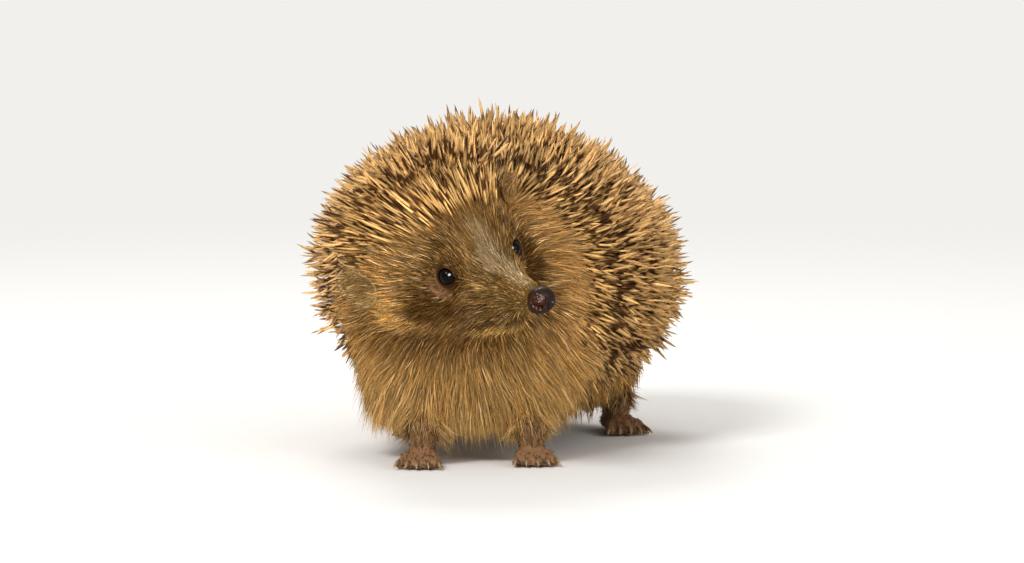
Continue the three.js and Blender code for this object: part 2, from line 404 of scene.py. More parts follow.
def moulded(rods: list[tuple[Array, float, Array, float]], voxel: float) -> Mesh:
    """Melts rods with round ends into one even closed net.

    Args:
        rods: each one's two ends with their radii.
        voxel: how fine the net is.

    Returns:
        The mesh.
    """
    mass = bmesh.new()
    for start, thick, end, thin in rods:
        rod = bmesh.new()
        for place, radius in ((start, thick), (end, thin)):
            bmesh.ops.create_icosphere(
                rod, subdivisions=3, radius=radius, matrix=Matrix.Translation(Vector(place))
            )
        hull = bmesh.ops.convex_hull(rod, input=rod.verts)
        spare = [g for g in hull["geom_interior"] if isinstance(g, bmesh.types.BMVert)]
        bmesh.ops.delete(rod, geom=spare, context="VERTS")
        pour(rod, mass)
    made = even_net("mould", mass, voxel)
    mesh = made.data
    bpy.data.objects.remove(made)
    return mesh


class Web:
    """Which points of a mesh are joined by an edge, for smoothing values over it."""

    def __init__(self, mesh: Mesh) -> None:
        """Reads the mesh's edges.

        Args:
            mesh: the mesh.
        """
        pairs = numbers(mesh.edges, "vertices", 2, np.int64)
        self.ends = np.concatenate([pairs[:, 0], pairs[:, 1]])
        self.others = np.concatenate([pairs[:, 1], pairs[:, 0]])
        self.count = len(mesh.vertices)
        self.joined = np.maximum(np.bincount(self.ends, minlength=self.count), 1)

    def smoothed(self, values: Array, passes: int, strength: float = 0.5) -> Array:
        """Draws each point's values towards its neighbours'.

        Args:
            values: one row for each point.
            passes: how many times.
            strength: how much of the way each time.

        Returns:
            The smoothed values.
        """
        columns = values.reshape(self.count, -1).astype(float)
        for _ in range(passes):
            near = np.empty_like(columns)
            for k in range(columns.shape[1]):
                sums = np.bincount(self.ends, columns[self.others, k], self.count)
                near[:, k] = sums / self.joined
            columns += strength * (near - columns)
        return columns.reshape(values.shape)


# ------------------------ the head's own frame


@dataclass
class HeadFrame:
    """Places on the head: forward, left and up, in millimetres from between the eyes."""

    level: float = 2.0  # degrees that the nose lies below the skull's own level
    eye: Spot = (0, 12.5, 0.5)  # the middle of the left eye, and mirrored that of the right one
    skull: Spot = (-10, 0, -4)

    def __post_init__(self) -> None:
        """Finds the axes from the eyes and the nose of the solids."""
        right_eye, left_eye, nose = (middle(n) for n in ("eye_right", "eye_left", "nose"))
        self.origin = (right_eye + left_eye) / 2
        left = unit(left_eye - right_eye)
        ahead = unit(nose - self.origin - np.dot(nose - self.origin, left) * left)
        up = np.cross(ahead, left)
        turn = math.radians(self.level)
        forward = ahead * math.cos(turn) + up * math.sin(turn)
        self.axes = np.array([forward, left, np.cross(forward, left)])

    def at(self, forward: float, left: float, up: float) -> Array:
        """The place of a point given in the head's frame, in metres."""
        return self.origin + MM * (np.array([forward, left, up]) @ self.axes)

    def local(self, places: Array) -> Array:
        """Points in the head's frame, in millimetres."""
        return (places - self.origin) @ self.axes.T / MM

    def along(self, forward: float, left: float, up: float) -> Array:
        """A unit direction given in the head's frame."""
        return unit(np.array([forward, left, up]) @ self.axes)

    def from_eyes(self, local: Array) -> Array:
        """How far points in the head's frame are from the nearer eye."""
        eyes = [np.multiply(self.eye, (1, side, 1)) for side in Side]
        return np.minimum(*[np.linalg.norm(local - eye, axis=1) for eye in eyes])


class Region(Enum):
    """The stretches of coat, each with the solids that it covers."""

    FACE = ("head", "jaw", "nose", "eye_right", "eye_left")
    NECK = ("neck",)
    CHEST = ("chest",)
    BELLY = ("belly",)
    SPINES = ("mantle",)
    LEG = ("foreleg_right", "foreleg_left", "hindleg_right", "hindleg_left")
    EAR = ("ear_right", "ear_left")
    TAIL = ("tail",)
    PAW = ("forepaw_right", "forepaw_left", "hindpaw_right", "hindpaw_left")


@dataclass(frozen=True)
class Coat:
    """How the coat is in one region.  Lengths in millimetres, angles in degrees."""

    depth: float  # from the coat's outline in to the skin
    length: float
    width: float
    density: float  # hairs in a square millimetre
    rise: float  # how steeply a hair leaves the skin
    shade: str


COATS = {
    Region.FACE: Coat(1.6, 5.2, 0.21, 10.2, 22, "#7e5a2a"),
    # the neck's darker orange, which stays just under the jaw, is partly painted shade and
    # reflected warm light
    Region.NECK: Coat(4.0, 8.0, 0.26, 7.4, 20, "#ac7630"),
    Region.CHEST: Coat(4.5, 14.0, 0.27, 7.0, 20, "#dcb06a"),
    Region.BELLY: Coat(4.0, 13.0, 0.46, 1.3, 18, "#8a6a3c"),
    # the mantle's skin and bristles are painted dark brown as shade in the gaps between the spines
    Region.SPINES: Coat(11.8, 11.0, 0.32, 0.0, 14, "#6e4618"),
    Region.LEG: Coat(1.2, 5.0, 0.28, 4.0, 18, "#8a6a42"),
    Region.EAR: Coat(3.2, 3.4, 0.22, 9.0, 18, "#a67c46"),
    Region.TAIL: Coat(0.8, 4.0, 0.30, 2.4, 20, "#6b4c30"),
    Region.PAW: Coat(0.0, 2.6, 0.24, 1.6, 14, "#5e4a34"),
}


# ------------------------ the skin


@dataclass
class Shell:
    """A closed stretch of bare or thinly haired skin that is joined to the rest."""

    mesh: Mesh
    region: Region
    tint: Array  # a linear colour for each point
    bare: Array  # one where the colour is the skin's own


@dataclass(frozen=True)
class Swell:
    """A rise or hollow on both sides of the head, in millimetres."""

    centre: Spot
    radii: Spot
    height: float


@dataclass
class Skin:
    """One skin for the whole animal, inside the solids by the depth of the coat."""

    head: HeadFrame
    voxel: float = 0.98 * MM
    swell: float = 0.5 * MM  # closes the thin cuts between the solids
    blend_passes: int = 60
    border_passes: int = 300  # for the skin under the mantle's rim
    inset_steps: int = 12
    brow_line: float = -7.0  # millimetres behind the eyes, where the first spines stand
    shoulder: tuple[float, float] = (42.0, -8.0)  # how high and how far back its spines start
    left_reach: float = 11.0  # millimetres that spines stand out past the rim on the left
    eye_room: float = 7.0  # millimetres round an eye in which the coat grows thin
    snout: Spot = (27, 0, -1)  # where the coat grows thin round the nose
    no_spines: float = -30.0  # the way to the spines that ears, lids and paws are given
    swells: tuple[Swell, ...] = (
        Swell((1, 15, -8), (8, 5, 5.5), 2.2),
        Swell((7.5, 7.5, 3.5), (5, 3.5, 4.5), -1.7),
        Swell((9, 3.0, 7), (8, 5, 5), -1.9),
        Swell((-17, 21, -13), (10, 8, 8), 1.2),
    )

    def build(self) -> Object:
        """Lays the skin and works out what grows where on it.

        Returns:
            The skin's object.
        """
        self.made = self.one_surface()
        mesh = self.made.data
        self.web = Web(mesh)
        places = self.web.smoothed(points_of(mesh), 6)
        self.shares = self.region_shares(places)
        self.rim = self.way_to_rim(places)
        self.edge = self.way_to_spines(places)
        self.inset(mesh, places)
        self.shells: list[Shell] = []
        self.read()
        return self.made

    def read(self) -> None:
        """Takes down where the skin's points are and how it faces."""
        mesh = self.made.data
        self.web = Web(mesh)
        self.places = points_of(mesh)
        self.normals = unit(self.web.smoothed(normals_of(mesh), 2))
        self.local = self.head.local(self.places)
        self.brow = ease((self.local[:, 2] + 4) / 10) * ease((24 - self.local[:, 1]) / 10)
        self.tree = point_tree(self.places, range(len(self.places)))

    def join(self, shells: list[Shell]) -> None:
        """Joins ears, lids and paws to the skin.

        Args:
            shells: what is joined.
        """
        whole = bmesh.new()
        whole.from_mesh(self.made.data)
        for shell in shells:
            whole.from_mesh(shell.mesh)
            count = len(shell.mesh.vertices)
            for region in Region:
                more = np.full(count, float(region is shell.region))
                self.shares[region] = np.append(self.shares[region], more)
            self.edge = np.append(self.edge, np.full(count, self.no_spines))
        whole.to_mesh(self.made.data)
        whole.free()
        self.shells = shells
        self.read()

    def one_surface(self) -> Object:
        """Joins the solids of flesh, swollen a little, under one even net.

        Returns:
            The net's object.
        """
        flesh = bmesh.new()
        for node in (n for region in Region if region is not Region.PAW for n in region.value):
            part = bmesh.new()
            part.from_mesh(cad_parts[node].data)
            bmesh.ops.remove_doubles(part, verts=part.verts, dist=0.01 * MM)
            if node in Region.EAR.value:
                bmesh.ops.convex_hull(part, input=part.verts)
            part.normal_update()
            for vertex in part.verts:
                vertex.co += vertex.normal * self.swell
            pour(part, flesh)
        return even_net("skin", flesh, self.voxel)

    def region_shares(self, places: Array) -> dict[Region, Array]:
        """Works out the regions of the skin, blended along their borders.

        Args:
            places: the skin's points, before it is sunk.

        Returns:
            How far each point belongs to each region.
        """
        trees = [face_tree(*(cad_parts[n].data for n in region.value)) for region in Region]
        far = 60 * MM
        away = np.array([[tree.find_nearest(p, far)[3] or far for tree in trees] for p in places])
        away[:, list(Region).index(Region.PAW)] = far
        labels = np.eye(len(Region))[np.argmin(away, axis=1)]
        blended = self.web.smoothed(labels, self.blend_passes)
        return {region: blended[:, k] for k, region in enumerate(Region)}

    def way_to_rim(self, places: Array) -> Array:
        """Works out how far each point is from the mantle's rim.

        Args:
            places: the skin's points, before it is sunk.

        Returns:
            Millimetres, above zero inside the rim.
        """
        spiny = self.shares[Region.SPINES] > 0.5
        found = np.empty(len(places))
        for inside in (True, False):
            tree = point_tree(places, np.flatnonzero(spiny != inside))
            for index in np.flatnonzero(spiny == inside):
                found[index] = tree.find(places[index])[2] * (1 if inside else -1)
        return self.web.smoothed(found / MM, 8)

    def way_to_spines(self, places: Array) -> Array:
        """Works out how far each point is from the edge of the spines.

        Args:
            places: the skin's points, before it is sunk.

        Returns:
            Millimetres, above zero where spines stand.
        """
        f, l, u = self.head.local(places).T
        behind_brow = self.brow_line - 0.025 * l**2 - f
        beside_left = self.rim + self.left_reach * ease((l - 14) / 12) * ease((u + 45) / 14)
        edge = np.maximum(beside_left, np.minimum(behind_brow, u + 3))
        x, y, z = places.T / MM
        height, back = self.shoulder
        on_shoulder = fade(y, back, back + 25) * ease((-x - 18) / 15)
        return np.minimum(edge, z - height + 60 * (1 - on_shoulder))

    def mix(self, name: str) -> Array:
        """One figure of the coats, blended over the skin by region."""
        return sum(share * getattr(COATS[region], name) for region, share in self.shares.items())

    def inset(self, mesh: Mesh, places: Array) -> None:
        """Sinks the net by the coat's depth, in small steps that keep it smooth.

        Args:
            mesh: the net.
            places: its smoothed points.
        """
        local = self.head.local(places)
        near = self.head.from_eyes(local)
        tip = np.linalg.norm(local - self.snout, axis=1)
        thin = 1 - 0.6 * fade(near, 3, self.eye_room) - 0.55 * fade(tip, 5, 12)
        shallow = 1 - 0.5 * self.shares[Region.SPINES] * fade(self.rim, 0, 18)
        depth = (self.mix("depth") * MM + self.swell) * thin * shallow
        for _ in range(self.inset_steps):
            move_points(mesh, places)
            step = unit(self.web.smoothed(normals_of(mesh), 2)) * depth[:, None]
            places = self.web.smoothed(places - step / self.inset_steps, 1, 0.4)
        border = fade(np.abs(self.rim - 1), 7, 15)[:, None]
        places = places + border * (self.web.smoothed(places, self.border_passes) - places)
        move_points(mesh, places)
        self.swell_head(mesh)

    def swell_head(self, mesh: Mesh) -> None:
        """Fills the cheeks, and draws the tip of the snout back inside the nose.

        Args:
            mesh: the skin's net.
        """
        normals = unit(self.web.smoothed(normals_of(mesh), 4))
        places = points_of(mesh)
        local = self.head.local(places)
        local[:, 1] = np.abs(local[:, 1])
        for swell in self.swells:
            reach = np.linalg.norm((local - swell.centre) / swell.radii, axis=1)
            places += normals * (MM * swell.height * fade(reach, 0.2, 1.4))[:, None]
        apart = places - middle("nose")
        inside = fade(np.linalg.norm(apart, axis=1) / MM, 4.2, 6.0)[:, None]
        move_points(mesh, places - 0.45 * inside * apart)

    def nearest(self, places: Array) -> Array:
        """The index of the skin's point that is nearest to each place."""
        return np.array([self.tree.find(p)[1] for p in places])

    def scatter(self, density: Array, dice: Dice) -> tuple[Array, Array]:
        """Spreads roots over the skin.

        Args:
            density: roots in a square millimetre, for each point of the skin.
            dice: where the random numbers come from.

        Returns:
            The roots, and the index of the skin's point beside each.
        """
        mesh = self.made.data
        mesh.calc_loop_triangles()
        corners = numbers(mesh.loop_triangles, "vertices", 3, np.int64)
        a, b, c = (self.places[corners[:, k]] for k in range(3))
        area = np.linalg.norm(np.cross(b - a, c - a), axis=1) / 2 / MM**2
        running = np.cumsum(area * np.maximum(density, 0)[corners].mean(axis=1))
        count = int(running[-1])
        picks = (np.arange(count) + dice.random(count)) * running[-1] / count
        chosen = np.minimum(np.searchsorted(running, picks), len(corners) - 1)
        weights = dice.dirichlet([1, 1, 1], count)
        roots = np.einsum("nk,nkd->nd", weights, self.places[corners[chosen]])
        beside = corners[chosen, np.argmax(weights, axis=1)]
        return roots, beside


# ------------------------ the lie of the coat


@dataclass
class Lie:
    """Which way the coat lies: back from the nose on the face, and away from the face elsewhere."""

    skin: Skin
    snout: Spot = (27, 0, -3)  # the face's hairs lie away from here,
    forehead: Spot = (2, 6, -4)  # the spines from here
    crown: Spot = (-12, -2, 10)  # and the long fur under the head from here
    on_legs: Spot = (0.0, 0.35, -1.0)  # x, y and z
    on_paws: Spot = (0.0, -1.0, -0.3)
    eye_out: float = 11.8  # millimetres from the middle, where hairs part round an eye
    eye_parting: float = 9.0  # millimetres round an eye in which hairs bend round it
    swirl: float = 16.0  # degrees that locks wander
    lock: float = 7 * MM

    def build(self) -> None:
        """Works out one unit direction along the skin for each of its points."""
        skin, head = self.skin, self.skin.head
        shares = skin.shares

        def away(spot: Spot) -> Array:
            """Directions away from a place on the head."""
            return unit(skin.places - head.at(*spot))

        from_brow = away(self.forehead)
        facing = shares[Region.FACE] + shares[Region.EAR]
        under = shares[Region.CHEST] + 0.8 * shares[Region.NECK]
        legs = shares[Region.LEG] + shares[Region.TAIL] + 0.4 * shares[Region.BELLY]
        course = (
            facing[:, None] * away(self.snout)
            + shares[Region.SPINES][:, None] * from_brow
            + under[:, None] * away(self.crown)
            + legs[:, None] * np.array(self.on_legs)
            + shares[Region.PAW][:, None] * np.array(self.on_paws)
        )
        course += 0.6 * shares[Region.BELLY][:, None] * from_brow
        course[:, 2] -= 0.25 * facing * ease(-(skin.local[:, 2] + 6) / 12)
        for side in Side:
            apart = skin.places - head.at(0, side * self.eye_out, 0)
            reach = np.linalg.norm(apart, axis=1) / MM
            course += 1.1 * fade(reach, 3, self.eye_parting)[:, None] * unit(apart)
        course = self.along_skin(course)
        course = self.along_skin(skin.web.smoothed(course, 12))
        angle = np.radians(self.swirl) * waver(skin.places, self.lock)
        self.course = turned(course, skin.normals, angle)

    def along_skin(self, vectors: Array) -> Array:
        """Lays vectors down along the skin."""
        n = self.skin.normals
        return unit(vectors - np.sum(vectors * n, axis=1, keepdims=True) * n)


# ------------------------ markings


@dataclass(frozen=True)
class Patch:
    """A soft patch of one colour on the head, alike on both sides or on the left alone."""

    shade: str
    strength: float
    centre: Spot
    radii: Spot
    left_alone: bool = False


@dataclass
class Markings:
    """The coat's colours by place, shared by the skin and all that grows on it."""

    skin: Skin
    muzzle: str = "#7e5c2a"
    cheek: str = "#c8954a"
    brow: str = "#946a32"
    fringe: str = "#c89450"
    chin: str = "#b08a44"
    lip: str = "#2a1c10"
    ear: str = "#967c4a"
    bare: ClassVar[str] = "#966a50"  # naked skin behind and below the eye
    mask: ClassVar[str] = "#563710"
    bridge: ClassVar[str] = "#a88d66"
    mouth: tuple[tuple[float, ...], ...] = ((3.0, 8.0, 14.0, 21.2), (-16.4, -14.6, -11.6, -9.7))
    chin_line: tuple[tuple[float, ...], ...] = ((3, 21), (-16.4, -9.7))  # forward, and up there
    patches: tuple[Patch, ...] = (
        Patch(bridge, 1.0, (14, 0, 6), (17, 3.8, 7)),
        Patch(mask, 0.9, (-2, 14, -9.5), (15, 9, 4.5)),
        Patch(mask, 0.8, (2, 13, 1), (8, 6, 5.5)),
        # the dark mask again, stronger and wider on the left side alone: painted shade on the
        # face's far side
        Patch(mask, 1.4, (-3, 18, -10), (13, 8, 9), left_alone=True),
        Patch(mask, 0.5, (-4, 7, 9), (7, 6, 5)),
    )

    def naked(self, local: Array) -> Array:
        """Works out where the skin is naked: in a crescent and a short strip by each eye.

        Args:
            local: points in the head's frame.

        Returns:
            How naked the skin is at each point.
        """
        f, l, u = local.T
        apart = np.stack([f + 1.3, np.abs(l) - 12.6, u + 0.9], axis=1)
        reach = np.linalg.norm(apart, axis=1)
        low = ease((-apart[:, 2] - 0.6 * apart[:, 0] - 0.8) / 2.0)
        crescent = fade(np.abs(reach - 4.7), 0.8, 2.2) * low * fade(np.abs(f), 4, 7)
        strip = fade(np.abs(u + 0.16 * f), 0.5, 1.3) * fade(np.abs(f - 6.2), 1.6, 3.0)
        return np.maximum(crescent, 0.6 * strip * ease((np.abs(l) - 6) / 2))

    def lips(self, local: Array) -> Array:
        """Works out how near points are to the mouth line, on either side of the face.

        Args:
            local: points in the head's frame.

        Returns:
            One on the line, and nothing away from it.
        """
        f, l, u = local.T
        line = np.interp(f, *self.mouth)
        inside = ease((f - 1) / 3) * fade(f, 21, 24)
        return fade(np.abs(u - line), 0.3, 1.3) * inside * ease((np.abs(l) - 0.2) / 0.6)

    def at(self, places: Array, beside: Array) -> Array:
        """Works out one linear colour for each of some places on the skin.

        Args:
            places: points on the skin.
            beside: the index of the skin's own point nearest to each.

        Returns:
            The colours, one a row.
        """
        shares = {region: share[beside] for region, share in self.skin.shares.items()}
        edge = self.skin.edge[beside]
        tint = sum(share[:, None] * colour(COATS[r].shade) for r, share in shares.items())
        local = self.skin.head.local(places)
        wander = 2.0 * np.stack([waver(places, 5 * MM, k * 9.0) for k in range(3)], axis=1)
        f, l, u = (local + wander).T
        mirrored = np.stack([f, np.abs(l), u], axis=1)
        facing = ease(1.4 * shares[Region.FACE])

        def blob(centre: Spot, radii: Spot) -> Array:
            """A soft patch, alike on both sides of the head."""
            return fade(np.linalg.norm((mirrored - centre) / radii, axis=1), 0.5, 1.3)

        layers = [
            (self.muzzle, facing * ease((f - 6) / 12)),
            (self.cheek, facing * blob((-20, 22, -12), (14, 12, 10))),
            (self.brow, facing * ease(-(f + 7) / 9) * ease((u + 1) / 7)),
        ]
        for patch in self.patches:
            where = (l > 6) if patch.left_alone else facing
            layers.append((patch.shade, patch.strength * where * blob(patch.centre, patch.radii)))
        below = ease(-(u - np.interp(f, *self.chin_line) + 0.5) / 1.5)
        # below the jaw the neck turns to the chest's paler colour; the darker orange kept under the
        # jaw is partly painted shade
        low = fade(places[:, 2] / MM, 30, 42)
        rim = fade(np.abs(edge), 3, 10) * (1 - 0.8 * self.skin.brow[beside])
        layers += [
            (self.ear, 0.55 * shares[Region.EAR] * (l < 0)),
            (self.chin, facing * below * ease((f + 4) / 6)),
            (self.fringe, shares[Region.NECK] * ease((l - 8) / 10)),
            (COATS[Region.CHEST].shade, 0.6 * low * shares[Region.NECK]),
            (self.fringe, 0.7 * rim * (edge > -10)),
            (self.lip, 0.5 * facing * self.lips(local)),
        ]
        for shade, amount in layers:
            tint = tint + np.clip(amount, 0, 1)[:, None] * (colour(shade) - tint)
        return tint

    def build(self) -> tuple[Array, Array]:
        """Colours the skin itself.

        Returns:
            Its colours, and where they are naked skin rather than what fur hides.
        """
        skin = self.skin
        everywhere = np.arange(len(skin.places))
        tint = self.at(skin.places, everywhere)
        bare = self.naked(skin.local) * ease(1.4 * skin.shares[Region.FACE])
        tint += bare[:, None] * (colour(self.bare) - tint)
        start = len(tint) - sum(len(shell.tint) for shell in skin.shells)
        for shell in skin.shells:
            stretch = slice(start, start + len(shell.tint))
            tint[stretch] += shell.bare[:, None] * (shell.tint - tint[stretch])
            bare[stretch] = np.maximum(bare[stretch], shell.bare)
            start = stretch.stop
        return tint, bare


# ------------------------ finishes


class Nodes:
    """Builds a node tree by short calls."""

    def __init__(self, tree: NodeTree) -> None:
        """Keeps the tree to build in."""
        self.tree = tree

    def feed(self, node: Node, inputs: dict[str | int, object]) -> None:
        """Fills a node's sockets.

        Args:
            node: the node.
            inputs: what goes into its sockets, by name or number: a value or another socket.
        """
        for name, value in inputs.items():
            if isinstance(value, NodeSocket):
                self.tree.links.new(value, node.inputs[name])
            else:
                node.inputs[name].default_value = value

    def add(self, kind: str, inputs: dict | None = None, **settings: object) -> Node:
        """Adds a node.

        Args:
            kind: the node's type.
            inputs: what goes into its sockets, as for feed.
            settings: the node's own properties.

        Returns:
            The node.
        """
        made = self.tree.nodes.new(kind)
        for name, value in settings.items():
            setattr(made, name, value)
        self.feed(made, inputs or {})
        return made

    def first(self, kind: str, inputs: dict | None = None, **settings: object) -> NodeSocket:
        """Adds a node, and gives its first output."""
        return self.add(kind, inputs, **settings).outputs[0]

    def attribute(self, name: str, output: str = "Fac") -> NodeSocket:
        """What the mesh keeps under a name."""
        return self.add("ShaderNodeAttribute", attribute_name=name).outputs[output]

    def sum(self, kind: str, a: object, b: object) -> NodeSocket:
        """One step of arithmetic."""
        return self.first("ShaderNodeMath", {0: a, 1: b}, operation=kind)

    def scaled(self, value: object, factor: float, offset: float) -> NodeSocket:
        """A value times a factor, with an offset added."""
        inputs = {0: value, 1: factor, 2: offset}
        return self.first("ShaderNodeMath", inputs, operation="MULTIPLY_ADD")

    def mix(self, factor: object, a: object, b: object, how: str = "MIX") -> NodeSocket:
        """Blends two colours.

        Args:
            factor: how much of the blend there is.
            a: the first colour, which stays where the factor is nothing.
            b: the second one.
            how: the way that they blend.

        Returns:
            The blended colour.
        """
        made = self.add("ShaderNodeMix", data_type="RGBA", blend_type=how)
        live = {socket.name: k for k, socket in enumerate(made.inputs) if socket.enabled}
        self.feed(made, {live["Factor"]: factor, live["A"]: a, live["B"]: b})
        return next(socket for socket in made.outputs if socket.enabled)

    def ramp(self, factor: object, *stops: tuple[float, Array | Spot]) -> NodeSocket:
        """Runs through some colours.

        Args:
            factor: the place along them.
            stops: each colour's place, with the colour.

        Returns:
            The colour at that place.
        """
        made = self.add("ShaderNodeValToRGB", {0: factor})
        bands = made.color_ramp.elements
        while len(bands) < len(stops):
            bands.new(0.5)
        for band, (place, shade) in zip(bands, stops):
            band.position = place
            band.color = (*shade, 1)
        return made.outputs["Color"]

    def space(self) -> NodeSocket:
        """Places in the object's own space."""
        return self.add("ShaderNodeTexCoord").outputs["Object"]

    def noise(self, scale: float, detail: float = 2.0) -> NodeSocket:
        """Noise in the object's own space, with swells of about 1/scale metres."""
        inputs = {"Vector": self.space(), "Scale": scale, "Detail": detail}
        return self.add("ShaderNodeTexNoise", inputs).outputs["Fac"]

    def bump(self, **inputs: object) -> Node:
        """A node that raises the surface, from its inputs by name."""
        return self.add("ShaderNodeBump", inputs)


@dataclass(frozen=True)
class Finish:
    """What all the finishes have in common: each works out what its own shader's sockets get."""

    name: ClassVar[str]

    def painted(self, nodes: Nodes) -> dict[str, object]:
        """What the shader's sockets get, by name, from nodes that are added for them."""
        raise NotImplementedError

    def material(self) -> Material:
        """Makes the material.

        Returns:
            The material.
        """
        material = bpy.data.materials.new(self.name)
        material.use_nodes = True
        nodes = Nodes(material.node_tree)
        nodes.feed(material.node_tree.nodes["Principled BSDF"], self.painted(nodes))
        return material


@dataclass(frozen=True)
class FurFinish(Finish):
    """Dry hair: dark at the root as painted shade among the hairs, its own colour along it and
    paler at the tip.
    """

    name: ClassVar[str] = "fur"
    # how dark a hair is at its root: painted shade deep among the hairs
    root: float = 0.16
    shaft: float = 0.9
    tip: float = 1.60
    streaks: float = 900.0
    roughness: float = 0.55
    uneven: float = 0.3  # how much the roughness varies

    def painted(self, nodes: Nodes) -> dict[str, object]:
        """Works out the look of hair.

        Args:
            nodes: the material's nodes.

        Returns:
            What the shader's sockets get, by name.
        """
        coat = nodes.attribute("coat", "Color")
        along = nodes.attribute("along")
        stops = (0.0, grey(self.root)), (0.5, grey(self.shaft)), (1.0, grey(self.tip))
        shade = nodes.mix(1.0, coat, nodes.ramp(along, *stops), "MULTIPLY")
        streak = nodes.noise(self.streaks)
        inputs = {"Color": shade, "Value": nodes.attribute("tone")}
        varied = nodes.first("ShaderNodeHueSaturation", inputs)
        return {
            "Base Color": nodes.mix(nodes.scaled(streak, 0.25, 0.25), varied, shade),
            "Roughness": nodes.scaled(streak, self.uneven, self.roughness - self.uneven / 2),
            "Specular IOR Level": 0.0,
        }


@dataclass(frozen=True)
class SkinFinish(Finish):
    """Dry grey-brown skin in the coat's own markings, finely creased; darker under the fur as
    painted shade.
    """

    name: ClassVar[str] = "skin"
    # how dark the skin is under the fur: painted shade between the hairs
    share: float = 0.55  # of the coat's brightness, under the fur
    mottle: float = 420.0
    crease: float = 1800.0
    crease_depth: float = 0.3 * MM

    def painted(self, nodes: Nodes) -> dict[str, object]:
        """Works out the look of skin.

        Args:
            nodes: the material's nodes.

        Returns:
            What the shader's sockets get, by name.
        """
        coat = nodes.attribute("coat", "Color")
        stops = (0.3, grey(self.share * 0.7)), (0.7, grey(self.share * 1.3))
        mottle = nodes.ramp(nodes.noise(self.mottle, 4.0), *stops)
        # the skin under the fur is painted darker as shade between the hairs
        under_fur = nodes.mix(1.0, coat, mottle, "MULTIPLY")
        creases = nodes.add(
            "ShaderNodeTexVoronoi",
            {"Vector": nodes.space(), "Scale": self.crease},
            feature="DISTANCE_TO_EDGE",
        )
        height = creases.outputs["Distance"]
        bump = nodes.bump(Height=height, Strength=0.5, Distance=self.crease_depth)
        return {
            "Base Color": nodes.mix(nodes.attribute("bare"), under_fur, coat),
            "Normal": bump.outputs[0],
            "Roughness": 0.6,
            "Specular IOR Level": 0.05,
        }


@dataclass(frozen=True)
class SpineFinish(Finish):
    """A spine's hard smooth shaft: dark at the root as painted shade, cream, a dark band below the
    tip, and a pale tip.
    """

    name: ClassVar[str] = "spines"
    # the dark brown at a spine's root is painted shade among the spines
    base: str = "#5c3610"
    shaft: str = "#d4a866"
    band: str = "#4a2c10"
    tip: str = "#dcae6e"
    point: str = "#8a6438"
    # where the base ends, where the shaft, the band and the tip each start and end, and the point
    stops: tuple[float, ...] = (0.00, 0.26, 0.52, 0.62, 0.76, 0.81, 0.96, 1.00)
    roughness: float = 0.5
    wander: float = 0.22  # how far the bands shift from spine to spine
    young_wander: float = 0.25  # and how much farther where the young spines stand
    young_band: float = 0.2  # how much nearer to the tip a young spine's band is

    def painted(self, nodes: Nodes) -> dict[str, object]:
        """Works out the look of spines.

        Args:
            nodes: the material's nodes.

        Returns:
            What the shader's sockets get, by name.
        """
        young = nodes.attribute("young")
        reach = nodes.scaled(young, self.young_wander, self.wander)
        shift = nodes.sum("MULTIPLY", nodes.sum("ADD", nodes.attribute("tone"), -0.5), reach)
        place = nodes.sum("ADD", nodes.attribute("along"), shift)
        place = nodes.sum("SUBTRACT", place, nodes.sum("MULTIPLY", young, self.young_band))
        bands = [shade for shade in (self.shaft, self.band, self.tip) for _ in range(2)]
        shades = (colour(shade) for shade in (self.base, *bands, self.point))
        run = nodes.ramp(place, *zip(self.stops, shades))
        tinted = nodes.mix(1.0, run, nodes.attribute("coat", "Color"), "MULTIPLY")
        streak = nodes.noise(1500.0, 3.0)
        worn = nodes.ramp(streak, (0.3, grey(0.78)), (0.7, grey(1.12)))
        return {
            "Base Color": nodes.mix(1.0, tinted, worn, "MULTIPLY"),
            "Roughness": nodes.scaled(streak, 0.25, self.roughness - 0.12),
            "Specular IOR Level": 0.22,
            "Specular Tint": (1, 0.8, 0.6, 1),
        }


@dataclass(frozen=True)
class EyeFinish(Finish):
    """A wet, nearly black eye, a little brown at its middle."""

    name: ClassVar[str] = "eye"
    iris: str = "#120805"
    ball: str = "#060303"

    def painted(self, nodes: Nodes) -> dict[str, object]:
        """Works out the look of an eyeball.

        Args:
            nodes: the material's nodes.

        Returns:
            What the shader's sockets get, by name.
        """
        swell = nodes.sum("MULTIPLY", nodes.noise(900.0, 3.0), 0.12)
        run = nodes.ramp(
            nodes.sum("ADD", nodes.attribute("pupil"), swell),
            (0.30, colour(self.ball)),
            (0.42, colour(self.iris)),
            (0.75, colour(self.iris) * 0.6),
            (0.95, colour(self.ball)),
        )
        return {"Base Color": run, "Roughness": 0.05, "Specular IOR Level": 0.08}


@dataclass(frozen=True)
class NoseFinish(Finish):
    """Black skin, wet and pebbled on the front, whose brown is partly wear and partly painted warm
    light.
    """

    name: ClassVar[str] = "nose"
    dark: str = "#241006"
    # the front's brown is partly wear and partly painted warm light
    worn: str = "#54290f"
    grain: float = 1900.0
    grain_height: float = 0.15 * MM

    def painted(self, nodes: Nodes) -> dict[str, object]:
        """Works out the look of the nose.

        Args:
            nodes: the material's nodes.

        Returns:
            What the shader's sockets get, by name.
        """
        front = nodes.attribute("front")
        inputs = {"Vector": nodes.space(), "Scale": self.grain}
        grains = nodes.add("ShaderNodeTexVoronoi", inputs).outputs["Distance"]
        wear_and_warm_light = nodes.noise(1100.0, 4.0)
        run = nodes.ramp(wear_and_warm_light, (0.35, colour(self.dark)), (0.68, colour(self.worn)))
        bump = nodes.bump(
            Height=nodes.sum("POWER", grains, 2.0),
            Strength=nodes.scaled(front, 0.8, 0.2),
            Distance=self.grain_height,
        )
        bump.invert = True
        return {
            # the front is painted brown: partly wear, partly warm light painted on
            "Base Color": nodes.mix(front, (*colour(self.dark), 1), run),
            "Normal": bump.outputs[0],
            "Roughness": nodes.scaled(front, -0.34, 0.45),
            "Specular IOR Level": 0.1,
        }


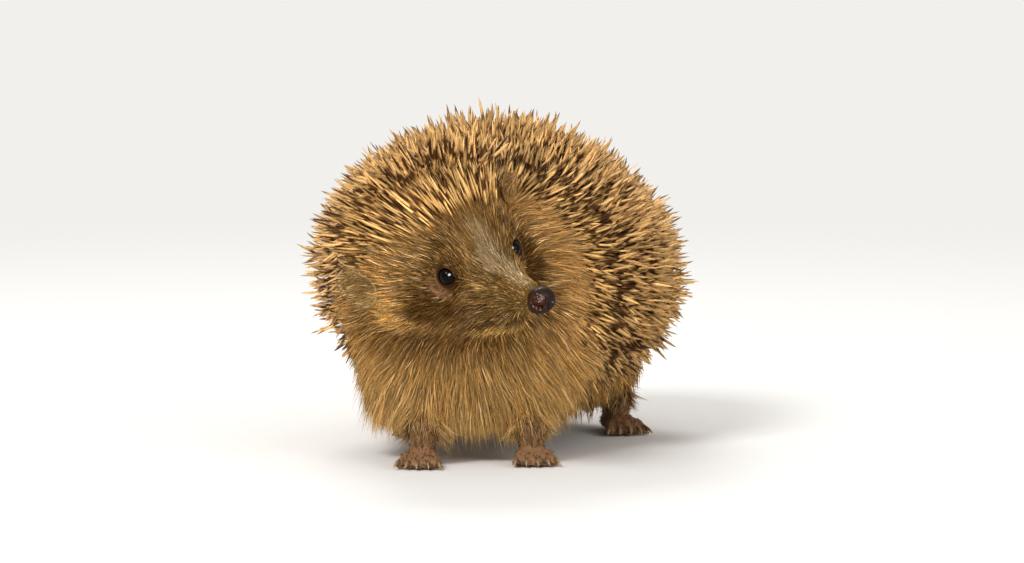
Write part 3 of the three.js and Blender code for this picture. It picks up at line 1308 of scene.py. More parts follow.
@dataclass(frozen=True)
class ClawFinish(Finish):
    """Translucent brown horn, paler towards the point."""

    name: ClassVar[str] = "claw"
    root: str = "#4a3322"
    point: str = "#b99a70"

    def painted(self, nodes: Nodes) -> dict[str, object]:
        """Works out the look of claws.

        Args:
            nodes: the material's nodes.

        Returns:
            What the shader's sockets get, by name.
        """
        along = nodes.attribute("along")
        run = nodes.ramp(along, (0.1, colour(self.root)), (0.9, colour(self.point)))
        worn = nodes.ramp(nodes.noise(1400.0, 3.0), (0.3, grey(0.8)), (0.7, grey(1.1)))
        return {"Base Color": nodes.mix(1.0, run, worn, "MULTIPLY"), "Roughness": 0.35}


# ------------------------ fur


@dataclass
class Tufts:
    """Many curved hairs as closed three-sided spikes."""

    paths: Array  # hair, place along it, x y z
    across: Array  # hair, place along it, the direction of its width
    width: Array
    coat: Array
    tone: Array

    # by how many places along a hair there are: how far along each is, and how full
    shares: ClassVar[dict[int, tuple[float, ...]]] = {3: (0.0, 0.45, 1.0), 4: (0.0, 0.33, 0.7, 1.0)}
    fullness: ClassVar[dict[int, tuple[float, ...]]] = {3: (0.75, 1.0), 4: (0.7, 1.0, 0.72)}
    flatness: ClassVar[float] = 0.6

    def some(self, part: Array) -> "Tufts":
        """The hairs with some indices."""
        every = (self.paths, self.across, self.width, self.coat, self.tone)
        return Tufts(*(values[part] for values in every))

    def faces(self) -> Array:
        """Joins up the points of one hair.

        Returns:
            Its triangles, in rings from the root to the tip.
        """
        rings = self.paths.shape[1] - 1
        tip = 3 * rings
        found = [(0, 2, 1)]
        for ring in range(rings - 1):
            for k in range(3):
                a, b = 3 * ring + k, 3 * ring + (k + 1) % 3
                found += [(a, b, b + 3), (a, b + 3, a + 3)]
        found += [(tip - 3 + k, tip - 3 + (k + 1) % 3, tip) for k in range(3)]
        return np.array(found)

    def build(self, name: str, spot: Array) -> Object:
        """Makes the hairs as one mesh, with what their material reads.

        Args:
            name: the piece's name.
            spot: each hair's place on the map.

        Returns:
            The piece.
        """
        count, steps = self.paths.shape[:2]
        rings = steps - 1
        each = 3 * rings + 1
        heading = unit(np.diff(self.paths, axis=1))
        points = np.empty((count, each, 3))
        for ring in range(rings):
            wide = unit(self.across[:, ring])
            deep = unit(np.cross(heading[:, ring], wide))
            half = 0.5 * self.width[:, None] * self.fullness[steps][ring]
            for k in range(3):
                turn = math.radians(90 + 120 * k)
                offset = math.cos(turn) * wide + self.flatness * math.sin(turn) * deep
                points[:, 3 * ring + k] = self.paths[:, ring] + half * offset
        points[:, -1] = self.paths[:, -1]
        one = self.faces()
        faces = (one[None] + each * np.arange(count)[:, None, None]).reshape(-1, 3)
        made = piece(name, points.reshape(-1, 3), faces)
        along = np.repeat(self.shares[steps], [3] * rings + [1])
        around = np.append(np.tile([0.0, 0.5, 1.0], rings), 0.5)
        store(made.data, "along", np.tile(along, count))
        store(made.data, "tone", np.repeat(self.tone, each))
        store(made.data, "coat", np.repeat(self.coat, each, axis=0))
        corner = np.stack([around, along], axis=1) * PATCH
        spots = spot[:, None, None] + corner[one][None]
        store_map(made.data, spots.reshape(-1, 2))
        return made


@dataclass
class Wrap:
    """A map of the skin: the angle round an axis, and the way along it."""

    centre: Array  # a point on the axis, inside the body
    axis: Array  # its unit direction

    def spots(self, places: Array) -> Array:
        """Spreads some places over the whole of the map.

        Args:
            places: points on the skin.

        Returns:
            Two values for each point.
        """
        side = unit(np.cross(self.axis, [0.0, 0.0, 1.0]))
        top = np.cross(side, self.axis)
        apart = places - self.centre
        angle = np.arctan2(apart @ top, apart @ side) / math.tau + 0.5
        far = apart @ self.axis
        far = (far - far.min()) / max(np.ptp(far), 1e-6)
        return np.stack([angle, far], axis=1) * (1 - 2 * PATCH) + PATCH / 2


def wrap_of_body() -> Wrap:
    """The map of the body, round a level axis through its middle."""
    return Wrap(np.mean([cad_box[0], cad_box[1]], axis=0), np.array([0.0, 1.0, 0.0]))


def wrap_of_head(head: HeadFrame) -> Wrap:
    """The map of the head, round the axis of the snout."""
    return Wrap(head.at(*head.skull), head.axes[0])


@dataclass
class FurCoat:
    """All the fur: short on the face, legs and ears, long on the neck, chest and belly."""

    skin: Skin
    lie: Lie
    markings: Markings
    most_triangles: int = 190_000
    steps: int = 2  # straight stretches in a hair
    nose: Spot = (28.5, 0, -0.5)
    ear_front: Spot = (4.5, 0, 0)  # from the right ear's solid, where its short fur is
    long_from: float = 6.5  # millimetres, from which a hair counts as long
    uneven: float = 0.30  # how much the length varies
    uneven_rise: float = 0.35
    uneven_width: float = 0.25
    root: float = 0.3 * MM  # how deep in the skin a hair starts
    clearance: float = 0.4 * MM  # over the floor
    lock: float = 1.8 * MM  # how wide the locks are that hairs gather in
    stray: float = 6.0  # degrees that a hair strays from its lock
    lock_stray: float = 10.0  # degrees that a lock strays
    pale: str = "#e4c898"  # the palest hairs among the others

    def bridge(self, local: Array) -> Array:
        """How near points are to the bridge of the nose."""
        return fade(np.abs(local[:, 1]), 2, 7) * ease((local[:, 2] - 1) / 3)

    def fields(self) -> tuple[Array, Array, Array, Array]:
        """Works out how the fur is at each point of the skin.

        Returns:
            The density, length, width and rise, as in Coat.
        """
        skin = self.skin
        density, length, width, rise = (skin.mix(n) for n in ("density", "length", "width", "rise"))
        f, _, u = skin.local.T
        on_ear = skin.shares[Region.EAR]
        face = skin.shares[Region.FACE] + on_ear
        near_eye = skin.head.from_eyes(skin.local)
        near_nose = np.linalg.norm(skin.local - self.nose, axis=1)
        short = 1 - 0.68 * fade(near_eye, 3.5, 13) * face - 0.72 * fade(near_nose, 4, 26) * face
        fine = 1 - 0.25 * fade(near_nose, 4, 22) * face - 0.2 * fade(near_eye, 3, 10) * face
        length = length * short * (1 + 0.7 * face * ease(-(f + 8) / 14))
        width = width * fine
        ear = skin.head.local(middle("ear_right")[None])[0] + self.ear_front
        near_ear = np.linalg.norm(skin.local - ear, axis=1)
        length = length * (1 - 0.72 * fade(near_ear, 8, 15) * skin.shares[Region.FACE])
        length, density = length * (1 - 0.45 * on_ear), density * (1 - 0.5 * on_ear)
        density = density * (1 + 0.7 * face * fade(near_nose, 4, 20))
        bridge = self.bridge(skin.local) * face
        width, density = width * (1 - 0.25 * bridge), density * (1 + 0.4 * bridge)
        density = density * (1 - 0.7 * self.markings.naked(skin.local))
        density = np.where(near_eye < 4.05 - 0.4 * ease(u / 2), 0, density)
        density = np.where(near_nose < 4.2, 0, density)
        fringe = fade(-skin.edge, 0, 16) * (skin.edge < 0) * (skin.shares[Region.LEG] < 0.3)
        fringe = fringe * (1 - 0.75 * face)
        length = length * (1 - 0.4 * skin.brow * fade(-skin.edge, 0, 9))
        length = length + fringe * np.maximum(0, 10 - length) * 0.85
        bristles = (3.0 - 2.6 * skin.brow) * fade(skin.edge, 1, 9)
        density = np.where(skin.edge > 0, bristles, density + 6.0 * skin.shares[Region.SPINES])
        hem = 0.4 * skin.shares[Region.CHEST] * fade(skin.places[:, 2] / MM, 12, 24)
        return density, length * (1 - hem), width, rise

    def grow(self, roots: Array, beside: Array, dice: Dice) -> Tufts:
        """Grows one hair from each root, step by step along the skin.

        Args:
            roots: where the hairs start.
            beside: the skin's point beside each root.
            dice: where the random numbers come from.

        Returns:
            The hairs.
        """
        skin, count, steps = self.skin, len(roots), self.steps
        _, length, width, rise = self.figures
        long = MM * length[beside] * (1 + self.uneven * spread(dice, count)).clip(0.4, 1.7)
        lift = rise[beside] * (1 + self.uneven_rise * spread(dice, count)).clip(0.2, 2.2)
        lift = np.radians(lift)
        locks = waver(roots, self.lock, 50.0)
        stray = np.radians(self.stray * spread(dice, count) + self.lock_stray * locks)
        shares = Tufts.shares[steps + 1]
        paths = np.empty((count, steps + 1, 3))
        across = np.empty((count, steps + 1, 3))
        paths[:, 0] = roots - skin.normals[beside] * self.root
        here = beside
        for step in range(steps):
            normal = skin.normals[here]
            course = turned(self.lie.course[here], normal, stray)
            angle = lift * (1 - 0.75 * step / steps)
            heading = course * np.cos(angle)[:, None] + normal * np.sin(angle)[:, None]
            stretch = (shares[step + 1] - shares[step]) * long
            across[:, step] = np.cross(heading, normal)
            paths[:, step + 1] = paths[:, step] + heading * stretch[:, None]
            paths[:, step + 1, 2] = np.maximum(paths[:, step + 1, 2], self.clearance)
            if step < steps - 1:
                here = skin.nearest(paths[:, step + 1])
        across[:, steps] = across[:, steps - 1]
        face = skin.shares[Region.FACE][beside]
        bridge = self.bridge(skin.local[beside]) * face
        tone = np.exp((0.55 + 0.4 * face - 0.3 * bridge) * spread(dice, count))
        tone *= np.exp(0.2 * waver(roots, self.lock, 80.0))
        wide = MM * width[beside] * (1 + self.uneven_width * spread(dice, count)).clip(0.5, 1.6)
        tint = self.markings.at(roots, beside)
        light = np.clip(tint.mean(axis=1, keepdims=True) / 0.2, 0.25, 1)
        few = (0.5 + 0.1 * face - 0.3 * bridge)[:, None]
        pale = few * light * dice.random((count, 1)) ** 2.5
        tint = tint * (1 - pale) + pale * colour(self.pale)
        return Tufts(paths, across, wide, tint, tone)

    def build(self, material: Material) -> None:
        """Makes the fur, in pieces that each stay small enough.

        Args:
            material: what the hairs are finished with.
        """
        self.figures = self.fields()
        dice = np.random.default_rng(SEED)
        roots, beside = self.skin.scatter(self.figures[0], dice)
        on_face = (self.skin.shares[Region.FACE] + self.skin.shares[Region.EAR])[beside] > 0.5
        short = on_face | (self.figures[1][beside] < self.long_from)
        for word, chosen, wrap in (
            ("face_fur", short, wrap_of_head(self.skin.head)),
            ("body_fur", ~short, wrap_of_body()),
        ):
            tufts = self.grow(roots[chosen], beside[chosen], dice)
            order = np.argsort(wrap.spots(tufts.paths[:, 0])[:, 0], kind="stable")
            pieces = math.ceil(len(order) * len(tufts.faces()) / self.most_triangles)
            for number, part in enumerate(np.array_split(order, pieces), 1):
                made = tufts.some(part).build(f"{word}_{number}", wrap.spots(tufts.paths[part, 0]))
                dress(made, material, word)


# ------------------------ spines


@dataclass
class SpineCoat:
    """The spines, made by a node tree that stands one on each root."""

    skin: Skin
    lie: Lie
    spacing: float = 1.30 * MM
    crowd: float = 5.5  # roots tried in a square millimetre
    length: float = 14.5 * MM
    thickness: float = 0.86 * MM
    closer: float = 0.26  # how much nearer to each other they stand at the brow
    lift: float = 43  # degrees up from the skin, over the back
    bend: float = 0.04  # as a share of the length
    crowding: float = 0.42  # under one, the rings lie closer together towards the tip
    sides: int = 4
    rings: int = 5
    most: int = 4800  # spines in one piece
    # how thick a spine is along its length, from its root to its tip
    profile: tuple[tuple[float, float], ...] = (
        *((0.0, 0.45), (0.12, 0.8), (0.35, 1.0), (0.82, 0.97)),
        *((0.92, 0.78), (0.97, 0.45), (1.0, 0.03)),
    )

    def roots(self, dice: Dice) -> tuple[Array, Array]:
        """Finds roots that keep apart from each other, closest at the brow.

        Args:
            dice: where the random numbers come from.

        Returns:
            The roots, and the index of the skin's point beside each.
        """
        density = np.where(self.skin.edge > -1.5, self.crowd, 0.0)
        roots, beside = self.skin.scatter(density, dice)
        brow = fade(self.skin.edge[beside], 4, 20) * self.skin.brow[beside]
        room = (self.spacing * (1 - self.closer * brow)) ** 2
        nearby = [(x, y, z) for x in (-1, 0, 1) for y in (-1, 0, 1) for z in (-1, 0, 1)]
        taken: dict[tuple[int, int, int], list[int]] = {}
        kept = []
        for index in dice.permutation(len(roots)):
            place = roots[index]
            a, b, c = (int(n) for n in np.floor(place / self.spacing))
            rivals = (n for x, y, z in nearby for n in taken.get((a + x, b + y, c + z), ()))
            if all(np.sum((roots[n] - place) ** 2) > room[index] for n in rivals):
                taken.setdefault((a, b, c), []).append(index)
                kept.append(index)
        kept = np.array(kept)
        return roots[kept], beside[kept]

    def tree(self) -> NodeTree:
        """Makes the node tree: one tapered, slightly bent spine, stood on every root.

        Returns:
            The tree.
        """
        group = bpy.data.node_groups.new("spines", "GeometryNodeTree")
        inward = ("Roots", "Geometry"), ("Bend", "Float"), ("Sides", "Int"), ("Rings", "Int")
        for name, kind in (*inward, ("Material", "Material")):
            group.interface.new_socket(name, in_out="INPUT", socket_type="NodeSocket" + kind)
        group.interface.new_socket("Spines", in_out="OUTPUT", socket_type="NodeSocketGeometry")
        nodes, vectors = Nodes(group), "GeometryNodeInputNamedAttribute"
        given = nodes.add("NodeGroupInput").outputs

        step, number = nodes.first, {"data_type": "FLOAT", "domain": "POINT"}

        def marked(curve: object, name: str, value: object) -> NodeSocket:
            """Keeps a number on a curve's points."""
            inputs = {"Geometry": curve, "Name": name, "Value": value}
            return step("GeometryNodeStoreNamedAttribute", inputs, **number)

        def kept(name: str) -> NodeSocket:
            """A vector that the roots keep."""
            made = nodes.add(vectors, {"Name": name}, data_type="FLOAT_VECTOR")
            return next(s for s in made.outputs if s.enabled)

        share = nodes.add("GeometryNodeSplineParameter").outputs["Factor"]
        along = nodes.sum("POWER", share, self.crowding)
        bow = nodes.sum("MULTIPLY", nodes.sum("POWER", along, 2.0), given["Bend"])
        line = step("GeometryNodeCurvePrimitiveLine", {"End": (0, 0, 1)})
        shaft = step("GeometryNodeResampleCurve", {"Curve": line, "Count": given["Rings"]})
        place = step("ShaderNodeCombineXYZ", {"X": bow, "Z": along})
        bent = step("GeometryNodeSetPosition", {"Geometry": shaft, "Position": place})
        around = nodes.add("GeometryNodeSplineParameter").outputs["Factor"]
        loop = {"Resolution": given["Sides"], "Radius": 0.5}
        ring = step("GeometryNodeCurvePrimitiveCircle", loop)
        spine = step(
            "GeometryNodeCurveToMesh",
            {
                "Curve": marked(bent, "along", along),
                "Profile Curve": marked(ring, "around", around),
                "Scale": self.taper(nodes, along),
                "Fill Caps": True,
            },
        )
        aim = step(
            "FunctionNodeAxesToRotation",
            {"Primary Axis": kept("aim"), "Secondary Axis": kept("bow")},
            primary_axis="Z",
            secondary_axis="X",
        )
        stood = step(
            "GeometryNodeInstanceOnPoints",
            {"Points": given["Roots"], "Instance": spine, "Rotation": aim, "Scale": kept("size")},
        )
        real = step("GeometryNodeRealizeInstances", {"Geometry": stood})
        coat = {"Geometry": real, "Material": given["Material"]}
        painted = step("GeometryNodeSetMaterial", coat)
        nodes.add("NodeGroupOutput", {0: painted})
        return group

    def taper(self, nodes: Nodes, along: NodeSocket) -> NodeSocket:
        """How thick a spine is, from how far along it a place is.

        Args:
            nodes: the tree.
            along: how far along.

        Returns:
            The thickness, as a share of the greatest.
        """
        taper = nodes.add("ShaderNodeFloatCurve", {"Value": along})
        points = taper.mapping.curves[0].points
        points[0].location, points[1].location = self.profile[0], self.profile[-1]
        for place in self.profile[1:-1]:
            points.new(*place)
        taper.mapping.update()
        return taper.outputs[0]

    def aims(self, beside: Array, dice: Dice) -> Array:
        """Works out which way each spine points: back, up from the skin and a little astray.

        Args:
            beside: the skin's point beside each root.
            dice: where the random numbers come from.

        Returns:
            One unit direction for each spine.
        """
        skin = self.skin
        rim = fade(skin.edge[beside], 2, 24)
        low = rim * (0.78 - 0.26 * skin.brow[beside])
        lift = np.radians(self.lift * (1 - low) + (12 - 9 * rim) * spread(dice, len(rim)))
        stray = np.radians((25 - 20 * rim) * spread(dice, len(rim)))
        normal = skin.normals[beside]
        course = turned(self.lie.course[beside], normal, stray)
        return unit(course * np.cos(lift)[:, None] + normal * np.sin(lift)[:, None])

    def build(self, material: Material) -> None:
        """Stands the spines on the mantle, in pieces that each stay small enough.

        Args:
            material: what the spines are finished with.
        """
        skin, dice = self.skin, np.random.default_rng(SEED + 1)
        roots, beside = self.roots(dice)
        count = len(roots)
        aims = self.aims(beside, dice)
        rim = fade(skin.edge[beside], 2, 22)
        brow = rim * skin.brow[beside]
        small = fade(skin.edge[beside], 1, 14) * (1 - skin.brow[beside])
        long = self.length * (1 + 0.05 * rim + 0.1 * brow - 0.4 * small)
        long *= 1 + 0.09 * spread(dice, count)
        thick = self.thickness * (1 - 0.2 * brow - 0.25 * small) * (1 + 0.12 * spread(dice, count))
        sizes = np.stack([thick, thick, long], axis=1)
        bows = spread(dice, count, 3)
        tone = dice.random(count)
        coat = np.exp(0.26 * spread(dice, count, 1) + 0.28 * brow[:, None]) * np.ones((count, 3))
        log.info("%d spines", count)
        wrap, group = wrap_of_body(), self.tree()
        sockets = {s.name: s.identifier for s in group.interface.items_tree}
        order = np.argsort(wrap.spots(roots)[:, 1], kind="stable")
        pieces = math.ceil(count / self.most)
        for number, part in enumerate(np.array_split(order, pieces), 1):
            made = piece(f"spines_{number}", roots[part], [])
            for name, values in (("aim", aims), ("bow", bows), ("size", sizes)):
                kept = made.data.attributes.new(name, "FLOAT_VECTOR", "POINT")
                kept.data.foreach_set("vector", values[part].astype(np.float32).ravel())
            spots = wrap.spots(roots[part])
            own = {"tone": tone[part], "coat": coat[part], "young": rim[part]}
            own |= {"spot_u": spots[:, 0], "spot_v": spots[:, 1]}
            for name, values in own.items():
                store(made.data, name, values)
            grower = made.modifiers.new("spines", "NODES")
            grower.node_group = group
            given = {"Bend": self.bend, "Sides": self.sides, "Rings": self.rings}
            for name, value in {**given, "Material": material}.items():
                grower[sockets[name]] = value
            settled(made)
            self.lay_map(made.data)
            dress(made, material, "spines")

    def lay_map(self, mesh: Mesh) -> None:
        """Gives each spine its patch of the map.

        Args:
            mesh: a piece of spines.
        """
        u, v, around, along = (
            numbers(mesh.attributes[name].data, "value")
            for name in ("spot_u", "spot_v", "around", "along")
        )
        corner = np.stack([u + PATCH * around, v + PATCH * along], axis=1)
        store_map(mesh, corner[numbers(mesh.loops, "vertex_index", 1, np.int64)])


# ------------------------ eyes


@dataclass(frozen=True)
class EyeFrame:
    """Where an eye is and how it looks out."""

    centre: Array
    outward: Array
    ahead: Array  # towards the nose
    up: Array


@dataclass
class Eyes:
    """Both eyeballs, and the lids that close round them."""

    skin: Skin
    radius: float = 3.15
    opening: float = 2.6
    around: int = 56
    edge: str = "#38230f"
    lid: str = "#3a2412"
    centres: ClassVar[dict[Side, Spot]] = {
        Side.RIGHT: (0.2, -12.2, 0.4),
        Side.LEFT: (0.0, 9.8, 0.9),
    }
    outward: ClassVar[dict[Side, Spot]] = {
        Side.RIGHT: (0.50, -0.80, 0.34),
        Side.LEFT: (0.85, 0.42, 0.26),
    }
    # how bare the lids are, ring by ring from the eyeball out into the skin and back under it
    bare: ClassVar[tuple[float, ...]] = (1, 1, 1, 1, 0.9, 0.6, 0.2, 0, 1.0)

    def frame_of(self, side: Side) -> EyeFrame:
        """Works out an eye's place and axes.

        Args:
            side: whose eye it is.

        Returns:
            The place and the axes.
        """
        head = self.skin.head
        outward = head.along(*self.outward[side])
        ahead = head.along(1, 0, -0.12)
        ahead = unit(ahead - np.dot(ahead, outward) * outward)
        up = np.cross(ahead, outward) * side
        return EyeFrame(head.at(*self.centres[side]), outward, ahead, up)

    def sockets(self) -> None:
        """Presses the skin in behind both openings, so that only the balls fill them."""
        mesh = self.skin.made.data
        places = points_of(mesh)
        for side in Side:
            eye = self.frame_of(side)
            apart = (places - eye.centre) / MM
            high = apart @ eye.outward
            reach = np.linalg.norm(apart - high[:, None] * eye.outward, axis=1)
            floor = np.sqrt(np.maximum((self.radius - 0.8) ** 2 - reach**2, 0))
            down = np.maximum(high - floor, 0) * fade(reach, 2.5, 4.4) * (high > -2) * (high < 12)
            places -= MM * down[:, None] * eye.outward
        move_points(mesh, places)

    def ball(self, side: Side, material: Material) -> Object:
        """Makes one eyeball, with a slight cornea.

        Args:
            side: whose eye it is.
            material: what it is finished with.

        Returns:
            The piece.
        """
        eye = self.frame_of(side)
        s, t, faces = globe(28, 44)
        far = MM * (self.radius + 0.25 * fade(s, 0.0, 0.9))
        round_it = np.cos(t)[:, None] * eye.ahead + np.sin(t)[:, None] * eye.up
        way = np.cos(s)[:, None] * eye.outward + np.sin(s)[:, None] * round_it
        made = piece(f"eyeball_{side.word}", eye.centre + far[:, None] * way, faces)
        right_way_out(made.data)
        store(made.data, "pupil", s / 1.2)
        dress(made, material, "eye", f"eye_{side.word}")
        return made

    def lids(self, side: Side, surface: BVHTree) -> Shell:
        """Makes the lids of one eye: a closed ring that runs from the eyeball into the skin.

        Args:
            side: whose eye it is.
            surface: the skin's faces.

        Returns:
            The lids.
        """
        eye = self.frame_of(side)

        def skin_at(out: Array, r: float) -> float:
            """Finds how high the skin lies, along the eye's axis.

            Args:
                out: which way from the axis.
                r: and how far, in millimetres.

            Returns:
                The height in millimetres, which is low where there is no skin.
            """
            start = Vector(eye.centre + MM * (r * out + 9 * eye.outward))
            hit = surface.ray_cast(start, Vector(-eye.outward), 18 * MM)[0]
            return -2.0 if hit is None else float((np.array(hit) - eye.centre) @ eye.outward) / MM

        def ball_at(r: float) -> float:
            """How high the eyeball lies there."""
            return math.sqrt(max((self.radius + 0.08) ** 2 - r * r, 0.3))

        points, tint = [], []
        for k in range(self.around):
            t = k * math.tau / self.around
            inner = math.exp(-(((((t + math.pi) % math.tau) - math.pi) / 0.34) ** 2))
            outer = math.exp(-(((t - math.pi) / 0.40) ** 2))
            gap = self.opening * (1 - 0.05 * abs(math.sin(t))) + 0.35 * inner + 0.15 * outer
            out = math.cos(t) * eye.ahead + math.sin(t) * eye.up
            brow = 0.22 * max(math.sin(t), 0)
            profile = (
                (gap - 0.05, ball_at(gap) - 0.6),
                (gap, ball_at(gap) + 0.10),
                (gap + 0.20, ball_at(gap) + 0.36 + brow),
                (gap + 0.55, ball_at(gap + 0.30) + 0.42 + brow),
                (gap + 1.05, max(ball_at(gap + 0.9), skin_at(out, gap + 1.05)) + 0.26 + brow),
                (gap + 1.75, skin_at(out, gap + 1.75) + 0.30 + brow),
                (gap + 2.60, skin_at(out, gap + 2.60) + 0.04),
                (gap + 3.00, skin_at(out, gap + 3.00) - 0.5),
                (gap + 1.00, min(skin_at(out, gap + 1.0), ball_at(gap + 0.5)) - 1.2),
            )
            points += [eye.centre + MM * (r * out + h * eye.outward) for r, h in profile]
            low = ease(np.array(1.2 * (-math.sin(t) - 0.6 * math.cos(t)) - 0.3))
            naked = colour(Markings.bare) * low + colour(self.lid) * (1 - low)
            dark = colour(self.edge)
            tint += [dark] * 4 + [(dark + colour(self.lid)) / 2, naked, naked, naked, dark]
        rings = len(self.bare)
        starts = [k * rings for k in range(self.around)]
        faces = [
            (a + j, b + j, b + (j + 1) % rings, a + (j + 1) % rings)
            for a, b in zip(starts, starts[1:] + starts[:1])
            for j in range(rings)
        ]
        mesh = right_way_out(net("lids", points, faces))
        return Shell(mesh, Region.FACE, np.array(tint), np.tile(self.bare, self.around))


# ------------------------ ears and paws


@dataclass(frozen=True)
class EarPose:
    """How one ear is set on the head."""

    facing: Spot
    ahead: float  # millimetres from the middle of its solid
    leftwards: float
    outward: float
    size: float
    rim: float  # how much its rim is paler


@dataclass
class Ears:
    """Small rounded ears: shallow cups with a rolled rim, set deep in the fur."""

    head: HeadFrame
    width: float = 4.4
    height: float = 5.9
    wall: float = 0.5
    cup: float = 1.9
    inside: str = "#94703f"
    rim: str = "#d2ae78"
    poses: ClassVar[dict[Side, EarPose]] = {
        Side.RIGHT: EarPose((0.62, -0.74, 0.14), 5.6, -0.4, 0.6, 1.0, 1.0),
        Side.LEFT: EarPose((0.85, 0.32, 0.28), 3.0, -1.2, 0.0, 0.72, 0.0),
    }

    def shell(self, side: Side) -> Shell:
        """Makes one ear, over its solid.

        Args:
            side: whose ear it is.

        Returns:
            The ear.
        """
        head, pose = self.head, self.poses[side]
        facing = head.along(*pose.facing)
        up = head.along(-0.25, side * 0.18, 0.95)
        up = unit(up - np.dot(up, facing) * facing)
        aside = np.cross(up, facing)
        s, t, faces = globe(40, 44)
        front = np.cos(s) >= 0
        r = np.sin(s)
        swell = 1 + 0.10 * np.sin(2 * t) * side + 0.05 * np.cos(3 * t)
        bowl = self.cup * r**2.2 + 0.2 * np.exp(-(((r - 1.0) / 0.2) ** 2)) * front
        fold = 0.5 * front * np.exp(-(((r - 0.62) / 0.12) ** 2)) * np.exp(-(((t - 4.2) / 1.2) ** 2))
        thick = np.where(front, 1, -1) * self.wall * np.sqrt(np.abs(np.cos(s)))
        deep = bowl + fold + thick - 0.35 * self.cup
        centre = middle(f"ear_{side.word}")
        centre = centre + MM * (head.axes[0] * pose.ahead + head.axes[1] * pose.leftwards)
        centre = centre + MM * facing * pose.outward
        points = centre + MM * pose.size * (
            (self.width * swell * r * np.cos(t))[:, None] * aside
            + (self.height * swell * r * np.sin(t))[:, None] * up
            + deep[:, None] * facing
        )
        mesh = right_way_out(net("ear", points, faces))
        lip = ease((r - 0.6) / 0.4)[:, None] * pose.rim
        tint = colour(self.inside) * (1 - lip) + colour(self.rim) * lip
        return Shell(mesh, Region.EAR, tint, np.where(front, 0.7, 0.5))


@dataclass
class PawFrame:
    """A paw's own millimetres: ahead to its middle finger, to its left and up."""

    place: Array  # under the ankle
    heading: Array
    reach: float  # from there to the end of the solid

    def at(self, p: Array) -> Array:
        """A point of the paw in the room."""
        aside = np.array([-self.heading[1], self.heading[0], 0])
        return self.place + MM * (p[0] * self.heading + p[1] * aside + [0, 0, p[2]])

    def fingers(self) -> list[tuple[Array, Array, Array]]:
        """Places the five fingers.

        Returns:
            Each one's root, knuckle and tip.
        """
        tips = [(n, self.reach - 3.2 - 0.75 * abs(n)) for n in (-2, -1, 0, 1, 2)]
        return [
            (
                np.array([tip - 7.2, 1.5 * n, 2.9]),
                np.array([tip - 3.4, 2.1 * n, 3.1]),
                np.array([tip, 2.75 * n, 1.5]),
            )
            for n, tip in tips
        ]


